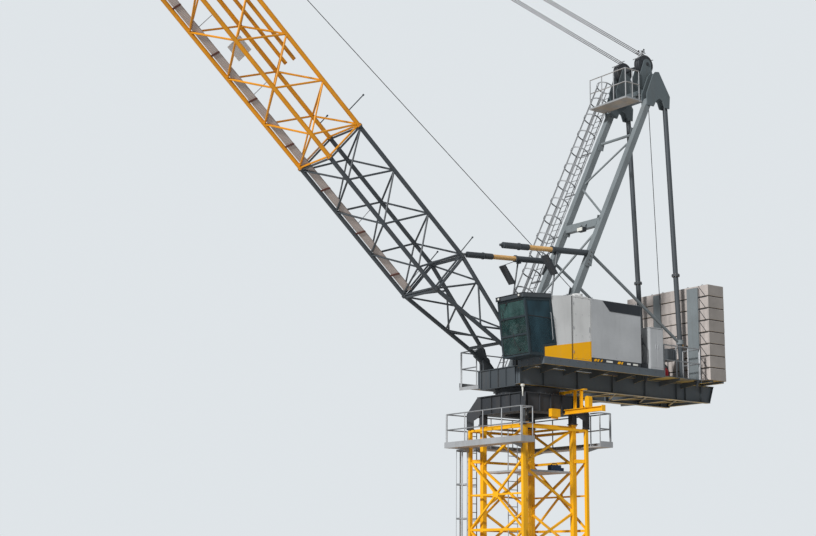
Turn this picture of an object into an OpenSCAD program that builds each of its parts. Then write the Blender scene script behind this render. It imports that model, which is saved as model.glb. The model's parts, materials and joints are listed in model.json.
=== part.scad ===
// Luffing-jib tower crane at real size: lattice mast, climbing frame, slewing platform, A-frame and jib.
// Origin on the ground at the mast's axis, +Z up, the jib towards -X and the cab on the -Y side.
// Heights in the upper modules are measured from the slewing plane, which slew_z lifts into place.

/* [Base and mast] */
// Height of the crossed base beams
base_height = 300; // [240:10:400]
// Width of each base beam
base_beam_width = 260; // [200:10:320]
// Spacing of the mast posts, centre to centre
mast_width = 2100; // [1900:10:2200]
// Side of a square mast post
mast_post = 160; // [120:5:180]
// Side of the mast's diagonals and rungs
mast_brace = 70; // [50:5:90]
// Height of one mast section
section_height = 4200; // [3900:50:4400]
// Radius of an anchor hole in a foot plate
anchor_hole_r = 24; // [18:1:30]

/* [Climbing frame] */
// Spacing of the climbing frame's posts, centre to centre
climb_width = 2720; // [2640:10:2900]
// Side of a climbing frame post
climb_post = 110; // [90:5:130]
// Height of one braced panel of the climbing frame
climb_panel = 2250; // [1900:50:2400]
// Depth of the climbing frame's top below the slewing plane
climb_drop = 1300; // [1250:10:1400]
// Depth of the climbing walkway below the slewing plane
walkway_drop = 1860; // [1800:10:2000]
// Width of the climbing walkway
walkway_width = 560; // [450:10:700]

/* [Slewing part] */
// Side of the square support box under the slewing ring
support_side = 2400; // [2300:10:2500]
// Height of the support box
support_height = 620; // [560:10:700]
// Outer radius of the slewing ring
ring_r = 1080; // [1000:10:1150]
// Running gap between fixed and turning parts
slew_gap = 8; // [5:1:15]
// Spacing of the two main girders, centre to centre
girder_spacing = 2000; // [1940:10:2100]
// Height of a main girder
girder_height = 610; // [560:10:660]
// Width of a girder's flanges
girder_flange = 200; // [160:10:240]
// Distance from the mast's axis to the rear end of the girders
tail_length = 7800; // [7700:50:8200]

/* [Deck and housings] */
// Distance from the centre line to the near side's outer face
near_side = 2400; // [2350:10:2500]
// Height of the deck above the slewing plane
deck_level = 800; // [780:5:860]
// Width of the cab across the crane
cab_width = 1330; // [1200:10:1380]
// Height of the cabinets and the machine housing above the slewing plane
housing_top = 2890; // [2700:10:3000]
// Width of a member of the cab's frame
cab_frame = 60; // [45:5:80]

/* [Ballast] */
// Width of the ballast stack across the crane
ballast_width = 4060; // [3900:20:4200]
// Thickness of the ballast blocks along the crane
ballast_depth = 825; // [700:5:900]
// Height of one ballast block
ballast_layer = 428; // [380:2:440]

/* [A-frame] */
// Height of the tops of the front legs above the slewing plane
head_level = 10950; // [10500:50:11500]
// Distance from the mast's axis back to the tops of the front legs
head_back = 5050; // [4900:10:5200]
// Side of a front leg's box section
leg_side = 220; // [190:10:260]
// Spacing of the front legs, centre to centre
leg_spacing = 1900; // [1840:10:1940]
// Diameter of a rear strut
strut_d = 180; // [140:5:190]
// Radius of the sheaves in the head
sheave_r = 355; // [300:5:370]

/* [Jib] */
// Angle of the jib above the horizontal at rest
jib_angle = 41.4; // [38:0.2:44]
// Length of the tapered jib heel
heel_length = 3750; // [3600:10:3900]
// Length of one bay of the jib's bracing
bay = 1810; // [1700:10:1850]
// Spacing of the chords across the jib, centre to centre
jib_width = 1670; // [1600:10:1700]
// Spacing of the chords over the depth of the jib, centre to centre
jib_depth = 1600; // [1500:10:1700]
// Diameter of a jib chord
chord_d = 140; // [110:5:150]
// Diameter of the jib's lacing bars
lacing_d = 65; // [50:5:80]
// Diameter of the jib foot pins
foot_pin_d = 120; // [100:5:140]

/* [Hidden] */
MAST_NODES = ["mast_section_1", "mast_section_2", "mast_section_3", "mast_section_4"];

// A seat between two pieces that are bolted or pinned but drawn apart
seat = 0.3;
cap_plate = 30;
collar = 50;
mast_bottom = base_height + cap_plate;
mast_top = mast_bottom + len(MAST_NODES) * section_height;
race_height = 200;
leg_height = 330;
support_top = -race_height;
support_bottom = support_top - support_height;
mast_gap = leg_height - support_bottom;
monorail_x = 600;
box_recess = 60;
slew_z = mast_top + mast_gap;
half_mast = mast_width / 2;
half_climb = climb_width / 2;
climb_outer = half_climb + climb_post / 2;
climb_head = 1050;
climb_height = climb_head + 2 * climb_panel + 200;
walkway_outer = climb_outer + walkway_width;
rail_d = 42;
stile = 44;
rail_height = 1080;

turntable_front = -1300;
turntable_rear = 1250;
girder_top = 660;
girder_bottom = girder_top - girder_height;
web = 20;
half_girder = girder_spacing / 2;
girder_inner = half_girder - girder_flange / 2;
girder_outer = half_girder + girder_flange / 2;

foot_x = -1170;
foot_z = 958;
half_jib = jib_width / 2;
half_depth = jib_depth / 2;
eye_thickness = 90;
eye_r = 150;
lug_gap = 5;
lug_thickness = 60;
dark_bays = 3;
middle_bays = 5;
outer_bays = 3;
dark_end = heel_length + dark_bays * bay;
middle_end = dark_end + middle_bays * bay;
outer_end = middle_end + outer_bays * bay;
tip_length = 1340;
jib_length = outer_end + tip_length;
tip_half_width = 420;
tip_plate = 30;
tip_sheave_u = jib_length + 300;
tip_sheave_w = -half_depth + 50;
tip_sheave_r = 240;
luff_sheave_u = jib_length - 60;
luff_sheave_w = half_depth + 260;
luff_sheave_r = 240;
hoist_sheave_u = jib_length + 180;
hoist_sheave_w = half_depth + 660;
hoist_sheave_r = 200;
rope_d = 24;
falls_length = 2300;

ballast_front = 6700;
ballast_bottom = girder_top + 70;
ballast_layers = 8;
ballast_columns = 3;

leg_foot_x = 0;
half_leg = leg_spacing / 2;
strut_top = [5900, head_level - 60];
strut_foot = [6430, girder_top + 60];
head_axle = [5260, head_level + 1480];
head_plate = 40;
cheek_y = [370, 730];
axle_d = 130;
groove = 24;
bundle_y = [460, 550, 640];
tip_bundle_y = [180, 270, 360];

backstop_node = [2110, 4840];
backstop_tip = [-1960, 4580];
backstop_y = 950;
backstop_d = 210;
rod_d = 170;
tube_mouth = 2235;
sleeve_mouth = 1210;

// A bar of few sides from point a to point b
module bar(a, b, d, sides = 6) {
    v = b - a;
    translate(a) rotate([0, acos(v[2] / norm(v)), atan2(v[1], v[0])]) cylinder(h = norm(v), d = d, $fn = sides);
}

// A rectangular bar from a to b, wide across the vertical plane it lies in and high in that plane
module box_bar(a, b, wide, high) {
    v = b - a;
    translate(a) rotate([0, acos(v[2] / norm(v)), atan2(v[1], v[0])])
        translate([-high / 2, -wide / 2, 0]) cube([high, wide, norm(v)]);
}

// A block from one corner to the opposite one
module block(low, high) {
    translate(low) cube(high - low);
}

module at_slew() {
    translate([0, 0, slew_z]) children();
}

module both_sides() {
    children();
    mirror([0, 1, 0]) children();
}

// Distance from a corner post to the end post of the next railing, flat to flat
corner_gap = rail_d * cos(30) + seat;

// Four corners or faces of the square mast
module four() {
    for (turn = [0 : 90 : 270]) rotate([0, 0, turn]) children();
}

// A plate drawn as an outline in x and z and centred on a plane of constant y
module side_plate_at(y, thickness) {
    translate([0, y + thickness / 2, 0]) rotate([90, 0, 0]) linear_extrude(height = thickness) children();
}

// Posts, a top rail, a middle rail and a toe board along a straight run
module railing_run(a, b, posts, height = rail_height) {
    v = b - a;
    for (i = [0 : posts - 1]) {
        foot = a + v * i / (posts - 1);
        bar(foot, foot + [0, 0, height], rail_d);
    }
    for (level = [height, height * 0.52]) bar(a + [0, 0, level], b + [0, 0, level], rail_d);
}

// Ladder in the plane y = 0 with, when hoops is not zero, a safety cage out towards +Y
module ladder(length, width, hoops = 0, hoop_r = 340, low = 2200, end_gap = 0) {
    rung_step = 280;
    for (x = [-width / 2, width / 2]) bar([x, 0, 0], [x, 0, length], stile, 4);
    for (z = [rung_step / 2 : rung_step : length]) bar([-width / 2, 0, z], [width / 2, 0, z], 26);
    if (hoops > 0) cage(width, hoops, hoop_r, low - 50, length - end_gap);
}

// Safety cage in five strips, each an upright flat with its share of every hoop, a seat's width apart
module cage(width, hoops, r, low, high) {
    reach = sqrt(pow(r, 2) - pow(width / 2, 2));
    share = (180 - asin(width / 2 / r)) / 5;
    step = (high - low - 50) / (hoops - 1);
    for (part = [-2 : 2]) difference() {
        intersection() {
            union() {
                for (i = [0 : hoops - 1]) translate([0, reach, low + i * step]) difference() {
                    cylinder(h = 50, r = r, $fn = 40);
                    translate([0, 0, -1]) cylinder(h = 52, r = r - 12, $fn = 40);
                }
                translate([0, reach, low]) rotate([0, 0, 90 + 2 * share * part])
                    translate([r - 11, -25, 0]) cube([10, 50, high - low]);
            }
            translate([0, reach, low - 1]) rotate([0, 0, 2 * share * part]) linear_extrude(height = high - low + 2)
                polygon([[0, seat], [2 * r * tan(share), 2 * r + seat], [-2 * r * tan(share), 2 * r + seat]]);
        }
        for (x = [-width / 2, width / 2])
            bar([x, 0, low - 10], [x, 0, high + 10], stile + 3 * seat, 4);
        translate([-width / 2, -r, low - 10]) cube([width, r + stile / 2 + seat, high - low + 20]);
    }
}

// Crossed base beams with four foot plates and the caps that the mast stands on
module base_frame() color("goldenrod") {
    plate_side = 510;
    hole_step = 260;
    reach = half_mast * sqrt(2) + plate_side / 2;
    difference() {
        union() {
            for (turn = [45, 135]) rotate([0, 0, turn])
                translate([-reach, -base_beam_width / 2, 0]) cube([2 * reach, base_beam_width, base_height]);
            four() translate([half_mast, half_mast, 0]) {
                rotate([0, 0, 45]) translate([-plate_side / 2, -plate_side / 2, 0])
                    cube([plate_side, plate_side, 40]);
                translate([-150, -150, base_height]) cube([300, 300, cap_plate]);
            }
        }
        four() translate([half_mast, half_mast, -1]) {
            for (s = [-1, 1]) {
                translate([s * hole_step, 0, 0]) cylinder(h = 42, r = anchor_hole_r, $fn = 32);
                translate([0, s * hole_step, 0]) cylinder(h = 42, r = anchor_hole_r, $fn = 32);
            }
        }
    }
}

// One mast section of four flat sides, each with a square post, bolting collars, a top bar and a zigzag.
// The bars of a side end a seat's width short of the next side's post.
module mast_section(index) color("gold") {
    inset = 150;
    gap = 60;
    rise = section_height / 3;
    stop = -half_mast - mast_post / 2 - seat;
    translate([0, 0, mast_bottom + index * section_height]) four() difference() {
        union() {
            translate([half_mast, -half_mast, 0]) {
                translate([-mast_post / 2, -mast_post / 2, 0]) cube([mast_post, mast_post, section_height]);
                for (z = [0, section_height - collar])
                    translate([-mast_post / 2 - 22, -mast_post / 2 - 22, z])
                        cube([mast_post + 44, mast_post + 44, collar]);
            }
            for (k = [0 : 2]) {
                s = k % 2 == 0 ? 1 : -1;
                high = section_height - k * rise - (k == 0 ? inset : gap);
                low = section_height - (k + 1) * rise + (k == 2 ? inset : gap);
                box_bar([s * half_mast, -half_mast, high], [-s * half_mast, -half_mast, low], mast_brace, mast_brace);
            }
            box_bar([half_mast, -half_mast, section_height - collar - 40],
                [-half_mast, -half_mast, section_height - collar - 40], mast_brace, mast_brace);
        }
        translate([stop, stop, -1])
            cube([mast_post + 2 * seat, mast_post + 2 * seat, section_height + 2]);
    }
}

// The inner ladder, held off the mast's top rings
module mast_ladder() color("silver") {
    ladder_y = half_mast - mast_brace / 2 - 230;
    translate([0, ladder_y, mast_bottom]) ladder(mast_top - mast_bottom - 100, 400);
    for (i = [1 : len(MAST_NODES)]) for (x = [-200, 200])
        block([x - 15, ladder_y + stile / 2 + seat, mast_bottom + i * section_height - collar - 60],
            [x + 15, half_mast - mast_brace / 2 - seat, mast_bottom + i * section_height - collar - 20]);
}

// Rest platforms inside the mast, each with a hatch for the ladder
module mast_platforms() color("dimgray") {
    inner = half_mast - mast_post / 2;
    drop = 1560;
    for (i = [1 : len(MAST_NODES)]) translate([0, 0, mast_bottom + i * section_height - drop]) difference() {
        block([-inner, -inner - 40, -30], [inner, inner + 40, 30]);
        block([-420, half_mast - 800, -31], [420, inner + 41, 31]);
    }
}

climb_top = slew_z - climb_drop;
climb_levels = [45, climb_head, climb_head + climb_panel, climb_head + 2 * climb_panel];

// Four flat sides of the climbing frame, of which the first is open but for its top and bottom bars
module climbing_frame() color("orange") translate([0, 0, climb_top]) {
    climbing_side(0, [0, 3], []);
    climbing_side(90, [0 : 3], [1, 2]);
    climbing_side(180, [0 : 3], [1, 2]);
    climbing_side(270, [0, 2, 3], [1, 2]);
}

// A side: its post with guide shoes on the mast's post, its bars and its crossed panels.
// They end a seat's width short of the next side's post.
module climbing_side(turn, bars, panels) rotate([0, 0, turn]) difference() {
    brace = 80;
    stop = -half_climb - climb_post / 2 - seat;
    union() {
        translate([half_climb - climb_post / 2, -half_climb - climb_post / 2, -climb_height])
            cube([climb_post, climb_post, climb_height]);
        guide_shoes();
        for (k = bars) box_bar([-half_climb, -half_climb, -climb_levels[k]],
            [half_climb, -half_climb, -climb_levels[k]], brace, brace);
        for (k = panels) {
            high = -climb_levels[k];
            low = high - climb_panel;
            for (s = [-1, 1])
                box_bar([s * half_climb, -half_climb, high], [-s * half_climb, -half_climb, low], 61 + 5 * s, 60);
            box_bar([-half_climb, -half_climb, (high + low) / 2 + 3], [half_climb, -half_climb, (high + low) / 2 + 3],
                46, 57);
        }
    }
    translate([stop, stop, -climb_height - 1]) cube([climb_post + 2 * seat, climb_post + 2 * seat, climb_height + 2]);
}

// Two angled shoes between a post of the climbing frame and the mast's post, clear of the next side's bars
module guide_shoes() {
    shoe = half_mast + mast_post / 2 + seat;
    face = half_climb - climb_post / 2;
    for (k = [1, 3]) translate([0, 0, -climb_levels[k] - 60]) mirror([0, 1, 0])
        linear_extrude(height = 120) polygon([[shoe, shoe - 110], [shoe + 70, shoe - 110], [face + 10, face - 30],
            [face + 10, half_climb], [face - 30, half_climb], [shoe - 110, shoe + 70], [shoe - 110, shoe],
            [shoe, shoe]]);
}

walk_floor = slew_z - walkway_drop;
toe = 150;
hatch = [-1520, -880];

// Floor panels, toe boards and brackets of the walkway round three sides of the climbing frame.
// They are bolted together a seat's width apart. The rear panels leave the ladder's hatch open.
module climbing_walkway() color("gray") translate([0, 0, walk_floor]) {
    rim = walkway_outer - 6;
    end = climb_outer - seat;
    for (s = [0, 1]) mirror([s, 0, 0]) {
        block([climb_outer, -rim + seat, -40], [rim - seat, end, 0]);
        block([rim, -rim - 12, -40], [rim + 12, end, toe]);
        block([climb_outer, -rim - 12, -40], [rim - seat, -rim, toe]);
        block([rim, climb_outer, -40], [rim + 12, rim - seat, toe]);
        for (y = [-half_climb, half_climb]) walk_bracket(y);
    }
    block([-rim + seat, climb_outer, -40], [hatch[0], rim - seat, 0]);
    block([hatch[1], climb_outer, -40], [rim - seat, rim - seat, 0]);
    block([hatch[0] + seat, climb_outer, -40], [hatch[1] - seat, climb_outer + 20, 0]);
    block([hatch[0] + seat, rim - 24, -40], [hatch[1] - seat, rim + 12, 0]);
    block([-rim - 12, rim, -40], [rim + 12, rim + 12, toe]);
    for (x = [hatch[1] + 60, half_climb]) rotate([0, 0, 90]) walk_bracket(-x);
}

// Bracket under a walkway panel, in a plane of constant y
module walk_bracket(y) {
    side_plate_at(y, 14) polygon([[climb_outer, -40 - seat], [climb_outer, -190], [walkway_outer - 60, -40 - seat]]);
}

// Railings of the climbing walkway
module climbing_railing() color("lightgray") {
    edge = walkway_outer - 40;
    translate([0, 0, walk_floor]) {
        for (s = [-1, 1]) {
            railing_run([s * edge, -edge, 0], [s * edge, edge - corner_gap, 0], 5);
            railing_run([s * (edge - rail_d - seat), -edge, 0], [s * (climb_outer + 40), -edge, 0], 2);
            bar([s * (climb_outer + 40), -edge, rail_height],
                [s * (climb_outer + 40), -climb_outer - 60, rail_height], rail_d);
        }
        railing_run([-edge, edge, 0], [edge, edge, 0], 5);
    }
}

// Caged ladder outside the climbing frame, up through the walkway's hatch
module access_ladder() color("silver") {
    ladder_y = climb_outer + 60;
    middle = (hatch[0] + hatch[1]) / 2;
    low = climb_top - climb_height + 100;
    translate([middle, ladder_y, low])
        ladder(climb_top - 30 - low, 400, 5, 350, 500, 600);
    for (k = [1 : 3], s = [-1, 1])
        block([middle + s * 200 - 15, (s < 0 ? climb_outer : half_climb + 40) + seat,
            climb_top - climb_levels[k] - 20],
            [middle + s * 200 + 15, ladder_y, climb_top - climb_levels[k] + 20]);
}

// Box under the slewing ring, with flanges, fins, legs on the mast posts and brackets to the climbing frame
module support_box() color("slategray") {
    side = support_side;
    flange = 30;
    at_slew() {
        difference() {
            union() {
                block([-side / 2 + box_recess, -side / 2 + box_recess, support_bottom],
                    [side / 2 - box_recess, side / 2 - box_recess, support_top]);
                for (z = [support_bottom, support_top - flange])
                    block([-side / 2, -side / 2, z], [side / 2, side / 2, z + flange]);
                four() for (x = [-0.42, -0.2, 0, 0.2, 0.42])
                    block([x * side - 8, -side / 2 + 10, support_bottom],
                        [x * side + 8, -side / 2 + 100, support_top]);
            }
            translate([0, 0, support_bottom - 1]) cylinder(h = support_height + 2, r = 760, $fn = 48);
        }
        outriggers();
    }
}

// Legs on the mast posts and sloping brackets out to the climbing frame's posts
module outriggers() {
    corner = support_side / 2 * sqrt(2);
    post = half_climb * sqrt(2);
    four() {
        block([half_mast - 100, half_mast - 100, support_bottom - leg_height],
            [half_mast + 100, half_mast + 100, support_bottom]);
        block([half_mast - 125, half_mast - 125, support_bottom - leg_height],
            [half_mast + 125, half_mast + 125, support_bottom - leg_height + 30]);
        rotate([0, 0, 45]) side_plate_at(0, 150) polygon([[corner - 130, support_top - 20],
            [corner - 20, support_top - 20], [post + 120, support_top - 580], [post + 120, 30 - climb_drop],
            [post - 110, 30 - climb_drop], [post - 110, support_top - 780], [corner - 130, support_bottom]]);
        block([half_climb - 95, half_climb - 95, -climb_drop], [half_climb + 95, half_climb + 95, 30 - climb_drop]);
    }
}

// Outer race of the slewing ring, fixed on the support box
module fixed_race() color("dimgray") at_slew() difference() {
    translate([0, 0, -race_height]) cylinder(h = race_height - slew_gap, r = ring_r, $fn = 96);
    translate([0, 0, -race_height - 1]) cylinder(h = race_height + 2, r = ring_r - 130, $fn = 96);
}

// Inner race, which turns with the platform
module turning_race() color("gray") at_slew() difference() {
    translate([0, 0, slew_gap - race_height]) cylinder(h = race_height - slew_gap, r = ring_r - 130 - seat, $fn = 96);
    translate([0, 0, -race_height]) cylinder(h = race_height + 1, r = ring_r - 250, $fn = 96);
}

// Beam, hanger and trolley on the open side, which bring mast sections in, with a carrier under the box
module monorail() color("orange") at_slew() {
    x = monorail_x;
    wall = support_side / 2 + seat;
    end = support_side / 2 + 1800;
    for (z = [-850, -712]) block([x - 62, -end, z], [x + 62, -wall, z + 22]);
    block([x - 11, -end, -850], [x + 11, -wall, -690]);
    block([x - 75, -end - 30, -870], [x + 75, -end, -670]);
    for (y = [-1990, -1680]) block([x - 12, y - 70, -700], [x + 12, y + 70, -110]);
    for (y = [-1990, -1680]) block([x - 60, y - 8, -700], [x + 60, y + 8, -110]);
    block([x - 70, -2200, -110], [x + 70, -1470, -75]);
    block([x - 45, -1480, -160], [x + 45, -960, -80]);
    block([x - 45, -wall + 40, support_top + seat], [x + 45, -960, -150]);
    block([x - 80, -2420, -690], [x + 80, -2230, -430]);
    translate([x + 80, -2325, -420]) rotate([0, -90, 0]) cylinder(h = 160, r = 95, $fn = 32);
    block([-120, -wall - 150, -960], [250, -wall, -700]);
    block([-60, -wall - 110, -1020], [190, -wall - 40, -960]);
}

// Box body of the turning platform with lugs for the jib's feet
module turntable() color("slategray") at_slew() {
    difference() {
        union() {
            block([turntable_front + 40, -girder_inner, 30], [turntable_rear, girder_inner, girder_top - 30]);
            block([turntable_front, -girder_inner, 0], [turntable_rear, girder_inner, 30]);
            block([turntable_front, -girder_inner, girder_top - 30], [turntable_rear, girder_inner, girder_top]);
            for (y = [-0.98, -0.45, 0, 0.45, 0.98])
                block([turntable_front + 4, y * girder_inner - 10, 0], [turntable_front + 100, y * girder_inner + 10,
                    girder_top]);
        }
        translate([0, 0, -1]) cylinder(h = 400, r = 700, $fn = 48);
    }
    both_sides() for (y = [half_jib - eye_thickness / 2 - lug_gap - lug_thickness / 2,
        half_jib + eye_thickness / 2 + lug_gap + lug_thickness / 2])
        side_plate_at(y, lug_thickness) difference() {
            union() {
                translate([foot_x, foot_z]) circle(r = eye_r, $fn = 48);
                polygon([[turntable_front, girder_top], [foot_x + 420, girder_top], [foot_x + 140, foot_z],
                    [foot_x - 130, foot_z - 70]]);
            }
            translate([foot_x, foot_z]) circle(d = foot_pin_d + 0.2, $fn = 48);
        }
    both_sides() translate([foot_x, half_jib + 110, foot_z]) rotate([90, 0, 0])
        cylinder(h = 220, d = foot_pin_d, $fn = 48);
}

// Two welded I-girders with stiffeners, cross beams and bracing between them
module main_girders() color("darkslategray") at_slew() {
    both_sides() translate([0, -half_girder, 0]) {
        block([turntable_front, -girder_flange / 2, girder_bottom],
            [tail_length - 120, girder_flange / 2, girder_bottom + 20]);
        block([turntable_front, -girder_flange / 2, girder_top - 20],
            [tail_length + 80, girder_flange / 2, girder_top]);
        side_plate_at(0, web) polygon([[turntable_front, girder_bottom], [tail_length - 120, girder_bottom],
            [tail_length + 80, girder_top], [turntable_front, girder_top]]);
        side_plate_at(0, girder_flange - 24) polygon([[tail_length - 140, girder_bottom + 10],
            [tail_length - 123, girder_bottom + 10], [tail_length + 77, girder_top - 10],
            [tail_length + 60, girder_top - 10]]);
        for (x = [-1250, -200, 1300, 2900, 4450, 6000, 6450, tail_length - 550])
            block([x - 8, -girder_flange / 2 + 12, girder_bottom], [x + 8, girder_flange / 2 - 12, girder_top]);
    }
    step = (tail_length - turntable_rear - 550) / 4;
    for (i = [0 : 4]) translate([turntable_rear + 450 + i * step - 60, 0, 0])
        block([0, -half_girder, girder_bottom + 40], [120, half_girder, girder_top - 120]);
    for (i = [0 : 3], s = [-1, 1])
        bar([turntable_rear + 450 + i * step, s * half_girder, girder_bottom + 90 + 2 * s],
            [turntable_rear + 450 + (i + 1) * step, -s * half_girder, girder_bottom + 90 + 2 * s], 70, 4);
}

deck_front = -1350;
deck_rear = 4050;
rear_walk = 6300;

// Deck beside the near girder that carries the cab, the cabinets and the housing
module near_deck() color("gray") at_slew() {
    inner = -girder_outer - seat;
    block([deck_front, -near_side, deck_level - 20], [deck_rear, inner, deck_level]);
    block([deck_front, -near_side, deck_level - 240], [deck_rear, -near_side + 14, deck_level]);
    block([deck_front, -near_side, deck_level - 240], [deck_rear, -near_side + 70, deck_level - 226]);
    block([deck_front, -near_side, deck_level - 240], [deck_front + 16, inner, deck_level]);
    block([deck_rear, -near_side + 400, deck_level - 130], [rear_walk, inner, deck_level - 100]);
    block([deck_rear - 16, -near_side, deck_level - 240], [deck_rear, inner, deck_level]);
    for (x = [deck_front + 260, -300, 700, 1900, 3100, 3950, 5200, rear_walk - 30]) {
        outer = x > deck_rear ? near_side - 400 : near_side - 20;
        top = x > deck_rear ? deck_level - 110 : deck_level - 10;
        translate([x, 0, 0]) rotate([90, 0, 90]) linear_extrude(height = 14)
            polygon([[-outer, top], [-outer, top - 110], [-half_girder - web / 2 - seat, girder_top - 190],
                [-half_girder - web / 2 - seat, girder_top - 20 - seat], [inner, girder_top - 20 - seat],
                [inner, top]]);
    }
}

far_floor = 200;
far_outer = 2050;
far_rail = 1200;

// Lower walkway along the far girder
module far_walkway() color("gray") at_slew() {
    inner = girder_outer + seat;
    block([turntable_front, inner, far_floor - 30], [rear_walk, far_outer, far_floor]);
    block([turntable_front, far_outer - 6, far_floor - 30], [rear_walk, far_outer + 6, far_floor + toe]);
    for (x = [turntable_front, 200, 1700, 3200, 4700, rear_walk - 14])
        translate([x, 0, 0]) rotate([90, 0, 90]) linear_extrude(height = 14)
            polygon([[inner, far_floor - 10], [far_outer, far_floor - 10], [far_outer, far_floor - 100],
                [half_girder + web / 2 + seat, girder_bottom + 20 + seat],
                [half_girder + web / 2 + seat, far_floor - 10]]);
}

module near_railing() color("lightgray") at_slew() {
    y = -near_side + 440;
    floor = deck_level - 100;
    railing_run([deck_rear + 450, y, floor], [rear_walk - 40, y, floor], 4);
    railing_run([rear_walk - 40, y + corner_gap, floor], [rear_walk - 40, -girder_outer - 60, floor], 2);
}

module far_railing() color("lightgray") at_slew() {
    y = far_outer - 40;
    railing_run([turntable_front + 40, y, far_floor], [rear_walk - 40, y, far_floor], 9, far_rail);
    railing_run([turntable_front + 40, girder_outer + 60, far_floor],
        [turntable_front + 40, y - corner_gap, far_floor], 2, far_rail);
}

cab_inner = -near_side + cab_width;
cab_side = [[-1950, deck_level], [-2170, 2620], [-1050, 2715], [-815, 1200], [-1330, 1100], [-1330, deck_level]];

// The cab's front plane, which leans forward
function front_x(z) = cab_side[0][0] + (cab_side[1][0] - cab_side[0][0]) * (z - deck_level) / (2620 - deck_level);
front_bars = [1445, 2010];

// Frame of the cab: floor, two side frames with window openings and cross members
module cab_shell() color("dimgray") at_slew() {
    for (y = [-near_side, cab_inner - cab_frame]) translate([0, y + cab_frame, 0]) rotate([90, 0, 0])
        linear_extrude(height = cab_frame) difference() {
            polygon(cab_side);
            polygon([[-1880, deck_level + 90], [-2090, 2540], [-1130, 2620], [-900, 1260], [-1400, 1160],
                [-1400, deck_level + 90]]);
        }
    translate([0, cab_inner, 0]) rotate([90, 0, 0]) linear_extrude(height = cab_width) {
        polygon([[-1950, deck_level], [-1956, deck_level + 50], [-1330, deck_level + 50], [-1330, deck_level]]);
        polygon([[-1330, 1100], [-815, 1200], [-825, 1260], [-1330, 1162]]);
        polygon([[-815, 1200], [-875, 1200], [-1110, 2710], [-1050, 2715]]);
        polygon([[-2170, 2620], [-2163, 2560], [-2090, 2566], [-2100, 2625]]);
        polygon([[-1330, deck_level], [-1330, 1162], [-1342, 1162], [-1342, deck_level]]);
        for (z = front_bars) polygon([[front_x(z), z], [front_x(z + 45), z + 45], [front_x(z + 45) + 18, z + 45],
            [front_x(z) + 18, z]]);
    }
}

// Panes set into the cab's frames
module cab_glass() color("lightblue", 0.5) at_slew() {
    for (y = [-near_side + 20, cab_inner - 26]) translate([0, y + 6, 0]) rotate([90, 0, 0])
        linear_extrude(height = 6) polygon([[-1880, deck_level + 90], [-2090, 2540], [-1130, 2620], [-900, 1260],
            [-1400, 1160], [-1400, deck_level + 90]]);
    low = deck_level + 50 + seat;
    high = 2560 + seat;
    translate([0, cab_inner - cab_frame - seat, 0]) rotate([90, 0, 0])
        linear_extrude(height = cab_width - 2 * cab_frame - 2 * seat)
            polygon([[front_x(low) + 19, low], [front_x(high) + 19, high], [front_x(high) + 27, high],
                [front_x(low) + 27, low]]);
}

module cab_roof() color("silver") at_slew()
    translate([0, cab_inner + 10, 0]) rotate([90, 0, 0]) linear_extrude(height = cab_width + 40)
        polygon([[-2240, 2614 + seat], [-2240, 2738], [-1060, 2830], [-1060, 2714 + seat]]);

module cab_seat() color("darkred") at_slew() {
    y = (cab_inner - near_side) / 2;
    block([-1620, y - 60, deck_level + 50 + seat], [-1480, y + 60, deck_level + 350]);
    block([-1780, y - 240, deck_level + 350], [-1360, y + 240, deck_level + 450]);
    block([-1420, y - 230, deck_level + 450], [-1340, y + 230, deck_level + 1050]);
}

cabinet_split = -165;
cabinet_end = 700;
housing_end = 2960;
housing_inner = -girder_outer - 60;

// Two tall cabinets behind the cab
module front_cabinets() color("gainsboro") at_slew() {
    side_plate_at((-near_side + housing_inner) / 2, near_side + housing_inner)
        polygon([[-1320, deck_level + seat], [-1320, 1095], [-800, 1196], [-1025, housing_top - 100],
            [cabinet_split, housing_top], [cabinet_split, deck_level + seat]]);
    block([cabinet_split + 36, -near_side, deck_level + seat], [cabinet_end - 5, housing_inner, housing_top]);
}

module machine_housing() color("darkgray") at_slew() {
    block([cabinet_end, -near_side, deck_level + 140], [housing_end, housing_inner, housing_top]);
    for (x = [cabinet_end + 200, housing_end - 350])
        block([x, -near_side + 100, deck_level + seat], [x + 150, housing_inner - 100, deck_level + 140]);
}

module side_plate() color("darkslategray") at_slew()
    side_plate_at(-near_side - 6 - seat, 12) polygon([[cabinet_end + 518, housing_top - 16],
        [cabinet_end + 836, housing_top - 340], [housing_end - 7, housing_top - 355],
        [housing_end - 7, housing_top - 8]]);

module control_cabinet() color("gray") at_slew()
    block([3400, -near_side + 10, deck_level + seat], [4020, -near_side + 710, deck_level + 1400]);

// Winch with a grooved drum between two cheeks, a motor and a skid on the girders
module winch(length, drum_r, height) {
    for (s = [-1, 1]) {
        block([-drum_r - 120, s * length / 2 - 25, 60], [drum_r + 120, s * length / 2 + 25, height]);
        translate([0, s * (length / 2 - 45), height]) rotate([90, 0, 0])
            translate([0, 0, -10]) cylinder(h = 20, r = drum_r + 90, $fn = 48);
    }
    translate([0, length / 2, height]) rotate([90, 0, 0]) cylinder(h = length, r = drum_r, $fn = 48);
    for (x = [-drum_r - 60, drum_r + 20])
        block([x - 60, -girder_outer + 20, 0], [x + 60, girder_outer - 20, 60]);
    translate([0, length / 2 + 25, height]) rotate([-90, 0, 0]) cylinder(h = 260, r = drum_r * 0.7, $fn = 32);
}

hoist_x = 4750;
luff_x = 5950;

module hoist_winch() color("firebrick") at_slew()
    translate([hoist_x, 0, girder_top + seat]) winch(1200, 330, 700);

module luffing_winch() color("dimgray") at_slew()
    translate([luff_x, 0, girder_top + seat]) winch(900, 230, 480);

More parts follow.
